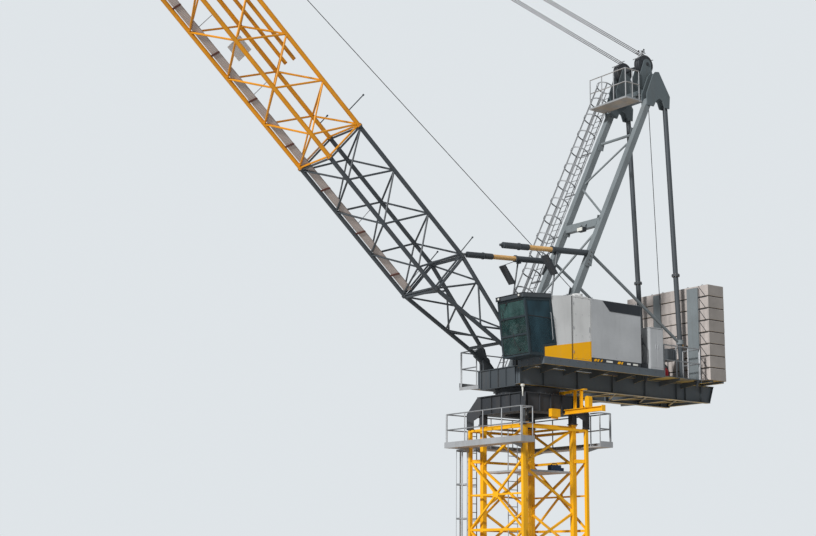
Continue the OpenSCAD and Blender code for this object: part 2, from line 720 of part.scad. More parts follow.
// Concrete blocks in layers, three to a layer
module ballast_blocks() color("lightgray") at_slew() {
    column = ballast_width / ballast_columns;
    for (i = [0 : ballast_columns - 1], k = [0 : ballast_layers - 1])
        block([ballast_front, -ballast_width / 2 + i * column + seat, ballast_bottom + k * ballast_layer + seat],
            [ballast_front + ballast_depth, -ballast_width / 2 + (i + 1) * column - seat,
                ballast_bottom + (k + 1) * ballast_layer]);
}

// Flat steel frames that hold the stack's front
module ballast_frames() color("darkslategray") at_slew() for (y = [[-1570, -1050], [270, 620]])
    block([ballast_front - 40, y[0], ballast_bottom + seat], [ballast_front - seat, y[1],
        ballast_bottom + ballast_layers * ballast_layer - 60]);

module ballast_seat() color("darkslategray") at_slew()
    for (x = [ballast_front + 80, ballast_front + ballast_depth - 200])
        block([x, -ballast_width / 2 + 60, girder_top + seat], [x + 120, ballast_width / 2 - 60, ballast_bottom]);

// Point on a front leg's centre line at a height above the slewing plane
function on_leg(z, side) = [leg_foot_x + (head_back - leg_foot_x) * (z - girder_top) / (head_level - girder_top),
    side * half_leg, z];

function on_strut(z, side) = [strut_foot[0] + (strut_top[0] - strut_foot[0]) * (z - strut_foot[1])
    / (strut_top[1] - strut_foot[1]), side * half_leg, z];

// Box legs of the A-frame with cross beams, diagonals and braces back to the rear struts
module front_legs() color("slategray") at_slew() {
    difference() {
        union() {
            both_sides() box_bar(on_leg(girder_top - 200, 1), on_leg(head_level, 1), leg_side, leg_side);
            box_bar(on_leg(6050, -1), on_leg(6050, 1), 240, 260);
            for (z = [3300, 9550]) bar(on_leg(z, -1), on_leg(z, 1), 110, 8);
            bar(on_leg(7850, 1), on_leg(9400, -1), 80);
            bar(on_leg(7750, 1), on_leg(6250, -1), 80);
            bar(on_leg(3450, 1), on_leg(5850, -1), 80);
            both_sides() bar(on_leg(backstop_node[1], 1), on_strut(2150, 1) + [-70, 0, 0], 110, 8);
            both_sides() translate(on_strut(2150, 1) - [0, 0, 80]) rotate([0, on_strut_lean, 0])
                cylinder(h = 160, d = strut_d + 80, $fn = 32);
        }
        both_sides() strut_core(strut_d + 2 * seat);
        block([-500, -1500, 0], [500, 1500, girder_top + seat]);
    }
}

on_strut_lean = -atan2(strut_foot[0] - strut_top[0], strut_top[1] - strut_foot[1]);

module strut_core(d) {
    a = on_strut(strut_foot[1], 1);
    b = on_strut(strut_top[1], 1);
    bar(a, b, d, 32);
}

// Tubular rear struts with a bolted flange and a foot plate
module rear_struts() color("slategray") at_slew() both_sides() {
    strut_core(strut_d);
    bar(on_strut(4540, 1), on_strut(4600, 1), strut_d + 110, 32);
    block([strut_foot[0] - 150, half_leg - 90, girder_top + seat], [strut_foot[0] + 150, half_leg + 90,
        strut_foot[1] + 20]);
}

head_inner = half_leg - leg_side / 2;
head_outer = half_leg + leg_side / 2;
ladder_side = half_leg + leg_side / 2 + 420;

// Outline of a head plate, in x and z
module head_outline() {
    polygon([[head_back - 200, head_level - 250], [head_back - 200, head_level + 200],
        [head_back + 130, head_level + 950], [head_back + 260, head_level + 1090],
        [head_back + 440, head_level + 1120],
        [head_back + 980, head_level + 270], [head_back + 940, head_level - 200],
        [head_back + 700, head_level - 200], [head_back + 600, head_level + 40], [head_back + 430, head_level + 110],
        [head_back + 260, head_level - 20], [head_back + 140, head_level - 250]]);
}

// Cheeks beside the two sets of sheaves, which carry the axle
module sheave_cheek(y) {
    side_plate_at(y, 30) difference() {
        union() {
            polygon([[head_back - 250, head_level + 250], [head_back - 330, head_level + 600],
                [head_axle[0] - 150, head_axle[1] + 120], [head_axle[0] + 150, head_axle[1] + 120],
                [head_back + 620, head_level + 420], [head_back + 600, head_level + 250]]);
            translate(head_axle) circle(r = 190, $fn = 48);
        }
        translate(head_axle) circle(d = axle_d + 0.2, $fn = 48);
    }
}

// Two pairs of head plates that hold the legs and the struts, a cross beam and the cheeks on it
module head_plates() color("slategray") at_slew() {
    both_sides() for (y = [head_inner - head_plate / 2, head_outer + head_plate / 2])
        side_plate_at(y, head_plate) head_outline();
    both_sides() for (y = cheek_y) sheave_cheek(y);
    block([head_back + 100, -head_inner + head_plate, head_level + 250], [head_back + 600, head_inner - head_plate,
        head_level + 400]);
    block([head_back - 190, -head_inner + head_plate, head_level + 250], [head_back - 90, head_inner - head_plate,
        head_level + 400]);
}

module sheave(r, thickness, bore) {
    rotate_extrude($fn = 64) polygon([[bore, -thickness / 2], [r, -thickness / 2], [r - groove, -thickness / 6],
        [r - groove, thickness / 6], [r, thickness / 2], [bore, thickness / 2]]);
}

module head_sheaves() color("dimgray") at_slew() {
    translate([head_axle[0], cheek_y[1] + 40, head_axle[1]]) rotate([90, 0, 0])
        cylinder(h = 2 * (cheek_y[1] + 40), d = axle_d, $fn = 48);
    both_sides() for (y = bundle_y) translate([head_axle[0], y, head_axle[1]]) rotate([90, 0, 0])
        sheave(sheave_r, 80, axle_d / 2 - 5);
}

// Platform in front of the head with its railing, out to the ladder on the far side
module head_platform() color("silver") at_slew() {
    floor = head_level;
    x = [head_back - 1000, head_back - 260];
    far = ladder_side - 380;
    block([x[0], -head_inner + 20, floor - 60], [x[1], far, floor]);
    for (s = [-1, 1]) block([x[1] - 60, s * (head_inner - 20) - 18, floor - 90],
        [head_back - 200 - seat, s * (head_inner - 20) + 18, floor - 30]);
    railing_run([x[0] + 30, -head_inner + 50, floor], [x[0] + 30, far - 30, floor], 4);
    railing_run([x[0] + 30, -head_inner + 50, floor], [x[1] - 30, -head_inner + 50, floor], 3);
}

// Caged ladder beside the far leg, parallel to it and open to the front
module leg_ladder() color("silver") at_slew() {
    lean = atan2(head_back - leg_foot_x, head_level - girder_top);
    start = on_leg(far_floor + 60, 1) + [-60, ladder_side - half_leg, 0];
    high = (head_level + 1050 - far_floor - 60) / cos(lean);
    translate(start) rotate([0, lean, 0]) rotate([0, 0, 90]) ladder(high, 400, 15, 340, 2200);
    for (k = [1 : 5]) translate(on_leg(girder_top + k * (head_level - girder_top) / 6, 1)) rotate([0, lean, 0])
        block([-80, leg_side / 2 + seat, -20], [-40, ladder_side - half_leg + 200, 20]);
}

module wind_mast() color("gray") at_slew() {
    x = head_back + 500;
    bar([x, 0, head_level + 400 + seat], [x, 0, head_level + 2250], 40);
    bar([x - 230, 0, head_level + 2150], [x + 230, 0, head_level + 2150], 26);
}

backstop_run = [backstop_node[0] - backstop_tip[0], 0, backstop_node[1] - backstop_tip[1]];
// Point on a backstop's centre line at a distance from its tip
function on_backstop(t) = [backstop_tip[0], backstop_y, backstop_tip[1]] + t * backstop_run / norm(backstop_run);

// Outer tubes of the backstops, open at the mouth for the sliding rods
module backstop_tubes() color("slategray") at_slew() both_sides() difference() {
    union() {
        bar(on_backstop(tube_mouth), on_backstop(norm(backstop_run) - 173), backstop_d, 32);
        bar(on_backstop(tube_mouth), on_backstop(tube_mouth + 60), backstop_d + 40, 32);
    }
    bar(on_backstop(tube_mouth - 10), on_backstop(norm(backstop_run) - 278), rod_d + 2 * seat, 32);
    lean = atan2(head_back - leg_foot_x, head_level - girder_top);
    translate(on_leg(backstop_node[1], 1)) rotate([0, lean, 0])
        translate([-leg_side / 2 - seat, -300, -900]) cube([900, 600, 1800]);
}

// Sliding rods of the backstops
module backstop_rods() color("khaki") at_slew() both_sides()
    bar(on_backstop(sleeve_mouth - 110), on_backstop(tube_mouth + 785), rod_d, 32);

// Sleeves over the rods' front ends, with the tips that the jib pushes on
module backstop_sleeves() color("slategray") at_slew() both_sides() {
    difference() {
        bar(on_backstop(120), on_backstop(sleeve_mouth), backstop_d, 32);
        bar(on_backstop(sleeve_mouth - 110 - seat), on_backstop(sleeve_mouth + 10), rod_d + 2 * seat, 32);
    }
    bar(on_backstop(0), on_backstop(130), 90, 12);
    bar(on_backstop(sleeve_mouth - 420), on_backstop(sleeve_mouth - 380), backstop_d + 36, 32);
}

// Props that carry the mouths of the backstop tubes, with a saddle under each tube
module backstop_props() color("slategray") at_slew() both_sides() {
    grip = on_backstop(tube_mouth + 200);
    low = [-250, half_girder + 30, girder_top + seat];
    block(low - [70, 60, 0], low + [70, 60, 20]);
    bar(low + [0, 0, 14], grip + [0, 70, -backstop_d / 2 - 35], 60);
    difference() {
        block(grip - [40, 70, backstop_d / 2 + 60], grip + [40, 105, -backstop_d / 2 + 30]);
        bar(grip - [200, 0, 200 * backstop_run[2] / backstop_run[0]],
            grip + [200, 0, 200 * backstop_run[2] / backstop_run[0]], backstop_d + 2 * seat, 32);
    }
}

// Places a piece of the jib: x along the jib, y across it towards the near side, z over its depth
module on_jib() {
    translate([foot_x, 0, slew_z + foot_z]) rotate([0, 0, 180]) rotate([0, -jib_angle, 0]) children();
}

// Lacing of one face between two chords, whose nodes are half a bay apart and inset at the section's ends
module zigzag(start, count, from_a, a, b) {
    for (i = [0 : 2 * count - 1]) {
        odd = (i + from_a) % 2;
        low = start + i * bay / 2 + (i == 0 ? 75 : 0);
        high = start + (i + 1) * bay / 2 - (i == 2 * count - 1 ? 75 : 0);
        bar([low, odd == 0 ? a[0] : b[0], odd == 0 ? a[1] : b[1]],
            [high, odd == 0 ? b[0] : a[0], odd == 0 ? b[1] : a[1]], lacing_d);
    }
}

// Chord with flanged ends, or, with a spare, the space it takes
module chord(start, end, c, spare = 0) {
    bar([start - spare, c[0], c[1]], [end + spare, c[0], c[1]], chord_d + 2 * spare, 12);
    for (u = [start, end - 25])
        bar([u - spare, c[0], c[1]], [u + 25 + spare, c[0], c[1]], chord_d + 60 + 2 * spare, 12);
}

// Straight lattice of whole bays in four flat sides, each a chord with flanged ends, a zigzag and end bars.
// The bars of a side end a seat's width short of the next side's chord.
module lattice(start, count) {
    corners = [[half_jib, half_depth], [-half_jib, half_depth], [-half_jib, -half_depth], [half_jib, -half_depth]];
    end = start + count * bay;
    for (k = [0 : 3]) difference() {
        here = corners[k];
        next = corners[(k + 1) % 4];
        union() {
            chord(start, end, here);
            zigzag(start, count, k % 2, here, next);
            for (u = [start + 40, end - 40]) bar([u, here[0], here[1]], [u, next[0], next[1]], lacing_d);
        }
        chord(start, end, next, seat);
    }
}

// Tapered heel with an eye at each foot and the portal frame at the kink
module jib_heel() color("darkslategray") on_jib() difference() {
    union() {
        for (s = [-1, 1]) {
            y = s * half_jib;
            bar([260, y, -55], [heel_length, y, -half_depth], chord_d, 12);
            bar([300, y, 245], [heel_length, y, half_depth], chord_d, 12);
            side_plate_at(y, eye_thickness) union() {
                circle(r = eye_r - 10, $fn = 48);
                polygon([[0, -eye_r + 20], [430, -190], [520, -120], [480, 300], [300, 310], [0, eye_r - 15]]);
            }
            bar([900, y, 345], [1700, y, -363], lacing_d);
            bar([1700, y, -363], [2700, y, 625], lacing_d);
            bar([2700, y, 625], [heel_length, y, -half_depth], lacing_d);
            bar([heel_length - 60, y, -half_depth], [heel_length - 60, y, half_depth], 110, 8);
            for (w = [-half_depth, half_depth])
                bar([heel_length - 25, y, w], [heel_length, y, w], chord_d + 60, 12);
        }
        for (w = [-half_depth, half_depth])
            bar([heel_length - 60, -half_jib, w], [heel_length - 60, half_jib, w], 110, 8);
        bar([780, -half_jib, -166], [780, half_jib, -166], 110, 8);
        for (i = [0 : 2]) {
            s = i % 2 == 0 ? 1 : -1;
            u = [900, 1850, 2800, heel_length - 60];
            for (w = [u * 0.161 + [197, 197, 197, 197], u * -0.213])
                bar([u[i], s * half_jib, w[i]], [u[i + 1], -s * half_jib, w[i + 1]], lacing_d);
        }
    }
    translate([0, half_jib + 100, 0]) rotate([90, 0, 0])
        cylinder(h = 2 * half_jib + 200, d = foot_pin_d + 0.2, $fn = 48);
    translate([heel_length, -jib_width, -jib_depth]) cube([bay, 2 * jib_width, 2 * jib_depth]);
}

module jib_dark_section() color("darkslategray") on_jib() lattice(heel_length, dark_bays);

module jib_middle_section() color("orange") on_jib() lattice(dark_end, middle_bays);

module jib_outer_section() color("orange") on_jib() lattice(middle_end, outer_bays);

// Tip frame that narrows to two plates carrying the sheave axles
module jib_tip() color("orange") on_jib() {
    end = jib_length - 150;
    difference() {
        for (s = [-1, 1]) {
            for (w = [-half_depth, half_depth]) {
                bar([outer_end - 10, s * half_jib, w], [w > 0 ? end - 80 : end, s * tip_half_width, w],
                    chord_d - 20, 12);
                bar([outer_end, s * half_jib, w], [outer_end + 25, s * half_jib, w], chord_d + 60, 12);
            }
            bar([outer_end + 90, s * half_jib, -half_depth], [end, s * tip_half_width, half_depth], lacing_d);
        }
        translate([outer_end - bay, -jib_width, -jib_depth]) cube([bay, 2 * jib_width, 2 * jib_depth]);
    }
    for (s = [-1, 1]) side_plate_at(s * tip_half_width, tip_plate) difference() {
        polygon([[end - 150, -half_depth - 60], [tip_sheave_u + 130, tip_sheave_w - 130],
            [tip_sheave_u + 130, tip_sheave_w + 150], [luff_sheave_u + 150, luff_sheave_w - 120],
            [hoist_sheave_u + 90, hoist_sheave_w - 60], [hoist_sheave_u + 90, hoist_sheave_w + 90],
            [hoist_sheave_u - 90, hoist_sheave_w + 90], [luff_sheave_u - 130, luff_sheave_w + 110],
            [end - 150, half_depth - 100]]);
        for (axle = [[tip_sheave_u, tip_sheave_w], [luff_sheave_u, luff_sheave_w], [hoist_sheave_u, hoist_sheave_w]])
            translate(axle) circle(d = axle_d - 30, $fn = 48);
        translate([end + 60, 0]) circle(r = 260, $fn = 48);
    }
    for (p = [[end, -half_depth], [end - 80, half_depth]])
        bar([p[0], -tip_half_width, p[1]], [p[0], tip_half_width, p[1]], 90, 8);
    for (w = [-half_depth, half_depth])
        bar([outer_end + 90, -half_jib, w], [outer_end + 90, half_jib, w], lacing_d);
}

// Axles and sheaves of the tip, with the part of the hoist rope that stays between them
module tip_sheaves() color("dimgray") on_jib() {
    pin = axle_d - 30 - 0.2;
    for (p = [[tip_sheave_u, tip_sheave_w], [luff_sheave_u, luff_sheave_w], [hoist_sheave_u, hoist_sheave_w]])
        translate([p[0], tip_half_width + 40, p[1]]) rotate([90, 0, 0])
            cylinder(h = 2 * (tip_half_width + 40), d = pin, $fn = 48);
    for (y = [-150, 150]) translate([tip_sheave_u, y, tip_sheave_w]) rotate([90, 0, 0])
        sheave(tip_sheave_r, 70, pin / 2 - 5);
    for (s = [-1, 1], y = tip_bundle_y) translate([luff_sheave_u, s * y, luff_sheave_w]) rotate([90, 0, 0])
        sheave(luff_sheave_r, 70, pin / 2 - 5);
    translate([hoist_sheave_u, 0, hoist_sheave_w]) rotate([90, 0, 0]) sheave(hoist_sheave_r, 70, pin / 2 - 5);
    from = [hoist_sheave_u + hoist_sheave_r - groove + rope_d / 2 + seat, 0, hoist_sheave_w];
    bar(from, [tip_sheave_u + tip_sheave_r - groove + rope_d / 2 + seat, 150, tip_sheave_w], rope_d);
}

// Grating on the lower lacing beside the far chord
module jib_walkway() color("rosybrown") on_jib() {
    low = -half_depth + lacing_d / 2 + seat;
    block([heel_length + 150, -half_jib + 120, low], [outer_end - 150, -half_jib + 500, low + 35]);
}

// Two pendant bars stowed on the upper lacing, with an eye at each end
module stowed_bars() color("orange") on_jib() for (y = [-300, 200]) {
    level = half_depth + lacing_d / 2 + seat + 60;
    bar([12000, y, level], [outer_end - 2400, y, level], 120, 12);
    for (u = [11960, outer_end - 2440]) translate([u, y - 25, level - 55]) difference() {
        cube([120, 50, 110]);
        translate([60, -1, 55]) rotate([-90, 0, 0]) cylinder(h = 52, r = 30, $fn = 24);
    }
}

// Point of the jib's side view in the upper part's x and z
function jib_point(u, w) = [foot_x - u * cos(jib_angle) + w * sin(jib_angle),
    foot_z + u * sin(jib_angle) + w * cos(jib_angle)];

// A rope over the tops of two sheaves, centred on a and b in x and z, at distances ya and yb across
module rope_over(a, ra, ya, b, rb, yb) {
    run = b - a;
    up = (run[0] < 0 ? 1 : -1) * [run[1], -run[0]] / norm(run);
    lift = rope_d / 2 + seat - groove;
    from = a + up * (ra + lift);
    to = b + up * (rb + lift);
    bar([from[0], ya, from[1]], [to[0], yb, to[1]], rope_d);
}

// Luffing ropes from the head sheaves to the tip sheaves
module luffing_ropes() color("dimgray") at_slew() for (s = [-1, 1], i = [0 : 2])
    rope_over(head_axle, sheave_r, s * bundle_y[i], jib_point(luff_sheave_u, luff_sheave_w), luff_sheave_r,
        s * tip_bundle_y[i]);

// Hoist rope from its drum to the guide sheave at the tip
module hoist_rope() color("dimgray") at_slew() rope_over([hoist_x, girder_top + seat + 700], 330 + groove, 0,
    jib_point(hoist_sheave_u, hoist_sheave_w), hoist_sheave_r, 0);

hook_axis = jib_point(tip_sheave_u, tip_sheave_w);

// Two falls from the tip sheaves to the hook block
module hook_falls() color("dimgray") at_slew() {
    x = hook_axis[0] - tip_sheave_r + groove - rope_d / 2 - seat;
    for (y = [-150, 150]) bar([x, y, hook_axis[1]], [x, y, hook_axis[1] - falls_length], rope_d);
}

// Block with cheeks, a weight and a forged hook
module hook_block() color("gold") at_slew() {
    x = hook_axis[0] - tip_sheave_r + groove - rope_d / 2 - seat;
    z = hook_axis[1] - falls_length;
    block([x - 90, -210, z - 520], [x + 90, 210, z - seat]);
    translate([x, 0, z - 620]) cylinder(h = 110, r = 45, $fn = 24);
    translate([x, 0, z - 790]) rotate([90, 0, 0]) difference() {
        cylinder(h = 70, r = 180, center = true, $fn = 48);
        cylinder(h = 72, r = 105, center = true, $fn = 48);
        translate([0, 0, -40]) rotate([0, 0, 20]) cube([250, 160, 80]);
    }
}

for (i = [0 : len(MAST_NODES) - 1]) mast_section(i);
base_frame();
mast_ladder();
mast_platforms();
climbing_frame();
climbing_walkway();
climbing_railing();
access_ladder();
support_box();
fixed_race();
monorail();
turning_race();
turntable();
main_girders();
near_deck();
far_walkway();
near_railing();
far_railing();
cab_shell();
cab_glass();
cab_roof();
cab_seat();
front_cabinets();
machine_housing();
side_plate();
control_cabinet();
hoist_winch();
luffing_winch();
ballast_blocks();
ballast_frames();
ballast_seat();
front_legs();
rear_struts();
head_plates();
head_sheaves();
head_platform();
leg_ladder();
wind_mast();
backstop_tubes();
backstop_rods();
backstop_sleeves();
backstop_props();
jib_heel();
jib_dark_section();
jib_middle_section();
jib_outer_section();
jib_tip();
tip_sheaves();
jib_walkway();
stowed_bars();
luffing_ropes();
hoist_rope();
hook_falls();
hook_block();
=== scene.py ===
import json
import math
import random

import bmesh
import bpy
from mathutils import Matrix, Vector


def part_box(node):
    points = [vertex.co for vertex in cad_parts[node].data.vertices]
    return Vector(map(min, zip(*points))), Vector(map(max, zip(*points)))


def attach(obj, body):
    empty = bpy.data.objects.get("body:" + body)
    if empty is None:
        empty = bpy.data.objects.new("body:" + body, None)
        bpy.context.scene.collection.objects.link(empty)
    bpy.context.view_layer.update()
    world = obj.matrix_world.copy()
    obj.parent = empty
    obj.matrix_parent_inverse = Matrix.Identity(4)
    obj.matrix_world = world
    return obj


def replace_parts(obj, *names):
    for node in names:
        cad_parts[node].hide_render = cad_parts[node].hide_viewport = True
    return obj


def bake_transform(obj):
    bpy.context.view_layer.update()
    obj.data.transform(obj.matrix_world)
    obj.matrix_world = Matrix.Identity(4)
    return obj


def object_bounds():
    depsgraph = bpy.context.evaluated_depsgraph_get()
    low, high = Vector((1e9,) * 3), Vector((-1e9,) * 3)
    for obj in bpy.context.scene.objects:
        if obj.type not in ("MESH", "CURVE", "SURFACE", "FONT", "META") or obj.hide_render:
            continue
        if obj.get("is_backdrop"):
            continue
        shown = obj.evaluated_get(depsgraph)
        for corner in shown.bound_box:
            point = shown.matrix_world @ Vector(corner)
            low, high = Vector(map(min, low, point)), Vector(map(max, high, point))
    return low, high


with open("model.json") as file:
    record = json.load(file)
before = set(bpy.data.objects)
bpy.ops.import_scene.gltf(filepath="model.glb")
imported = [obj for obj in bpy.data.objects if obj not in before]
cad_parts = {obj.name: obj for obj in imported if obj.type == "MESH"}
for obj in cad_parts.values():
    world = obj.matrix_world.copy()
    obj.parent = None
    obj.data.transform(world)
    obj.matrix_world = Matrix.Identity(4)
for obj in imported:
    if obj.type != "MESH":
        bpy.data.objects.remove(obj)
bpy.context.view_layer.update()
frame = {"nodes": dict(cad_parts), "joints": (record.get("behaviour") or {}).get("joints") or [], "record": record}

NODES = frame["nodes"]

bl_info = {
    "name": "Luffing Tower Crane",
    "version": (1, 0, 0),
    "blender": (4, 5, 0),
    "location": "3D View > Sidebar > Crane",
    "description": "Finishes, ropes and small parts for a luffing-jib tower crane",
    "category": "Object",
}

# Heights in the crane's upper part are measured from the slewing plane. Pairs are (x, height), in metres.
JOINTS = {joint["name"]: joint for joint in frame["joints"]}
SLEW_Z = JOINTS["slew"]["pos_m"][2]
FOOT = Vector(JOINTS["luff"]["pos_m"])
JIB_ANGLE = math.radians(41.4)
JIB_LENGTH = 25.0
HALF_DEPTH = 0.80
HALF_JIB = 0.835
JIB_SPLICES = (3.75, 9.18, 18.23)
HOIST_DRUM, LUFF_DRUM = (4.75, 1.36), (5.95, 1.14)
GROOVE_LIFT = 0.012 + 0.0003 - 0.024
HEAD_AXLE = (5.26, 12.43)
SHEAVE_PLANES = (0.46, 0.55, 0.64)
HALF_FRAME = 0.95
LEG_FOOT_Z, LEG_LEAN = 0.66, 5.05 / 10.29
CROSS_BEAM_Z = 6.05
STRUT_FOOT, STRUT_TOP, STRUT_RADIUS = (6.43, 0.72), (5.90, 10.89), 0.090
STRUT_FLANGE_Z = 4.57
NEAR_FACE = -2.400
RING_BOLTS = 1.115

# Heights in the tower are measured from the ground.
HALF_MAST, SECTION, FIRST_COLLAR = 1.05, 4.2, 0.33
PLATFORM_TOP = 15.60
PANEL = 2.25
GUSSET = [(-0.12, -0.09), (0.12, -0.09), (0.17, 0), (0.12, 0.09), (-0.12, 0.09), (-0.17, 0)]

# The photograph's camera, fitted on the crane's own edges.
PHOTO_WIDTH = 816
FOCAL_PIXELS = 1468.57
SENSOR = 36.0
CAMERA_PLACE = (-32.0126, -37.3143, 12.4245)
CAMERA_HEADING = 35.910
CAMERA_PITCH = 11.5574
CAMERA_ROLL = 0.5601
FLOOR_HALF = 400


# Shader maths.

class Value:
    """A number socket in a node tree. Arithmetic on it adds Math nodes."""

    def __init__(self, graph, socket):
        self.graph, self.socket = graph, socket

    def math(self, operation, *others, clamp=False):
        node = self.graph.node("ShaderNodeMath", {"operation": operation, "use_clamp": clamp},
                               {i: v for i, v in enumerate((self,) + others)})
        return Value(self.graph, node.outputs[0])

    def reflected(self, operation, other):
        node = self.graph.node("ShaderNodeMath", {"operation": operation}, {0: other, 1: self})
        return Value(self.graph, node.outputs[0])

    def __add__(self, other):
        return self.math("ADD", other)

    def __sub__(self, other):
        return self.math("SUBTRACT", other)

    def __rsub__(self, other):
        return self.reflected("SUBTRACT", other)

    def __mul__(self, other):
        return self.math("MULTIPLY", other)

    def __truediv__(self, other):
        return self.math("DIVIDE", other)

    def __rtruediv__(self, other):
        return self.reflected("DIVIDE", other)

    __radd__ = __add__
    __rmul__ = __mul__

    def ramp(self, low, high):
        """0 below low, 1 above high and straight between them."""
        return ((self - low) / (high - low)).math("MULTIPLY", 1.0, clamp=True)


class Graph:
    """A new material with its node tree and Principled shader."""

    def __init__(self, name):
        self.material = bpy.data.materials.new(name)
        self.material.use_nodes = True
        self.tree = self.material.node_tree
        self.shader = self.tree.nodes["Principled BSDF"]
        self.place = self.node("ShaderNodeTexCoord").outputs["Object"]

    def node(self, kind, settings=None, inputs=None):
        """Any node: its settings first, then values or links for its sockets."""
        node = self.tree.nodes.new(kind)
        for name, value in (settings or {}).items():
            setattr(node, name, value)
        for key, value in (inputs or {}).items():
            self.feed(node.inputs[key], value)
        return node

    def feed(self, socket, value):
        if isinstance(value, Value):
            value = value.socket
        if isinstance(value, bpy.types.NodeSocket):
            self.tree.links.new(value, socket)
        else:
            socket.default_value = value

    def stretched(self, scale):
        """The object's coordinates, scaled along each axis."""
        return self.node("ShaderNodeMapping", None, {"Vector": self.place, "Scale": scale}).outputs[0]

    def noise(self, scale, detail=3.0, stretch=(1, 1, 1)):
        node = self.node("ShaderNodeTexNoise", None,
                         {"Vector": self.stretched(stretch), "Scale": scale, "Detail": detail})
        return Value(self, node.outputs["Fac"])

    def axis(self, name):
        node = self.node("ShaderNodeSeparateXYZ", None, {0: self.place})
        return Value(self, node.outputs["XYZ".index(name)])

    def normal(self, name):
        geometry = self.node("ShaderNodeNewGeometry").outputs["Normal"]
        node = self.node("ShaderNodeSeparateXYZ", None, {0: geometry})
        return Value(self, node.outputs["XYZ".index(name)])

    def sideways(self):
        """1 on the faces that look along Y, either way."""
        return (self.normal("Y") * self.normal("Y")).ramp(0.5, 0.7)

    def mix(self, mask, low, high):
        """Colour low where mask is 0 and high where it is 1."""
        node = self.node("ShaderNodeMix", {"data_type": "RGBA"}, {0: mask, 6: low, 7: high})
        return node.outputs[2]

    def bump(self, height, strength, distance):
        node = self.node("ShaderNodeBump", None,
                         {"Height": height, "Strength": strength, "Distance": distance})
        self.feed(self.shader.inputs["Normal"], node.outputs[0])

    def set(self, **inputs):
        for name, value in inputs.items():
            self.feed(self.shader.inputs[name.replace("_", " ").title().replace("Ior", "IOR")], value)


def shade(colour, factor):
    """The colour made darker or lighter, with full alpha."""
    return tuple(min(1.0, c * factor) for c in colour[:3]) + (1.0,)


def painted(name, colour, roughness=0.42, dirt=0.35, rust=0.0, dirt_colour=(0.10, 0.085, 0.07), underside_bounce=None,
            stripe=None):
    """Weathered paint: broad fading, grime in patches and streaks, and small rust spots.

    The faces that look down can take another colour in patches, as painted bounce light. stripe is (colour, x and z of
    a point, rise for each metre of x): the surface below that line has the colour."""
    g = Graph(name)
    fade = g.noise(0.9, 4.0).ramp(0.35, 0.70)
    base = g.mix(fade, shade(colour, 0.90), shade(colour, 1.08))
    if stripe:
        paint, (x, z), rise = stripe
        below = ((g.axis("X") - x) * rise + (SLEW_Z + z) - g.axis("Z")).ramp(-0.002, 0.002)
        base = g.mix(below, base, g.mix(fade, shade(paint, 0.92), shade(paint, 1.05)))
    # Painted bounce light: the faces that look down take another colour in patches.
    if underside_bounce:
        down = (0.0 - g.normal("Z")).ramp(0.45, 0.8) * g.noise(1.4, 4.0).ramp(0.25, 0.55)
        base = g.mix(down, base, underside_bounce + (1.0,))
    streaks = g.noise(2.2, 5.0, (3.0, 3.0, 0.35)).ramp(0.50, 0.74)
    specks = g.noise(11.0, 4.0).ramp(0.56, 0.72)
    grime = (streaks * 0.7 + specks * 0.4).math("MULTIPLY", dirt, clamp=True)
    base = g.mix(grime, base, dirt_colour + (1.0,))
    if rust:
        spots = (g.noise(17.0, 6.0).ramp(0.66, 0.72) * rust).math("MULTIPLY", 1.0, clamp=True)
        base = g.mix(spots, base, (0.20, 0.07, 0.03, 1.0))
    g.set(base_color=base, roughness=roughness + grime * 0.35, metallic=0.0, specular_ior_level=0.3)
    return g.material


def galvanised(name, colour):
    """Zinc coating with large pale spangles and dull patches."""
    g = Graph(name)
    cells = g.node("ShaderNodeTexVoronoi", None, {"Vector": g.place, "Scale": 26.0})
    spangle = Value(g, cells.outputs["Distance"]).ramp(0.1, 0.8)
    dull = g.noise(1.6, 5.0, (1.0, 1.0, 0.5)).ramp(0.42, 0.66)
    base = g.mix(spangle, shade(colour, 0.85), shade(colour, 1.1))
    base = g.mix(dull * 0.45, base, shade(colour, 0.45))
    g.set(base_color=base, roughness=0.5 + dull * 0.2, metallic=0.55)
    return g.material


def concrete(name, colour, shaded_flank, underside_bounce):
    """Cast blocks with pores and water marks. The faces along the crane take a darker colour as painted shade, and
    those that look down a warm one as painted bounce light.
    """
    g = Graph(name)
    cloud = g.noise(1.3, 6.0).ramp(0.32, 0.70)
    streaks = g.noise(3.2, 5.0, (2.5, 2.5, 0.25)).ramp(0.48, 0.74)
    pores = g.noise(60.0, 3.0).ramp(0.60, 0.70)
    base = g.mix(cloud, shade(colour, 0.86), shade(colour, 1.08))
    base = g.mix(streaks * 0.45, base, shade(colour, 0.50))
    base = g.mix(pores * 0.30, base, shade(colour, 0.55))
    # Painted shade: the faces along the crane get a darker colour.
    base = g.mix(g.sideways(), base, g.mix(cloud, shade(shaded_flank, 0.85), shade(shaded_flank, 1.15)))
    # Painted bounce light: the faces that look down get a warm colour.
    base = g.mix((0.0 - g.normal("Z")).ramp(0.6, 0.8), base, g.mix(cloud, shade(underside_bounce, 0.7), shade(underside_bounce, 1.2)))
    g.set(base_color=base, roughness=0.9 - cloud * 0.08)
    g.bump(g.noise(38.0, 4.0), 0.25, 0.006)
    return g.material


def grating(name, colour):
    """Open grating seen from far off: a fine dark grid on a dull colour."""
    g = Graph(name)
    pitch = 0.034
    across, along = ((g.axis(axis) * (2 * math.pi / pitch)).math("SINE").ramp(-0.2, 0.5) for axis in "XY")
    lines = across * along
    patch = g.noise(2.4, 4.0).ramp(0.35, 0.65)
    base = g.mix(lines, shade(colour, 0.45), shade(colour, 1.0))
    base = g.mix(patch * 0.4, base, shade(colour, 0.6))
    g.set(base_color=base, roughness=0.62, metallic=0.2)
    return g.material


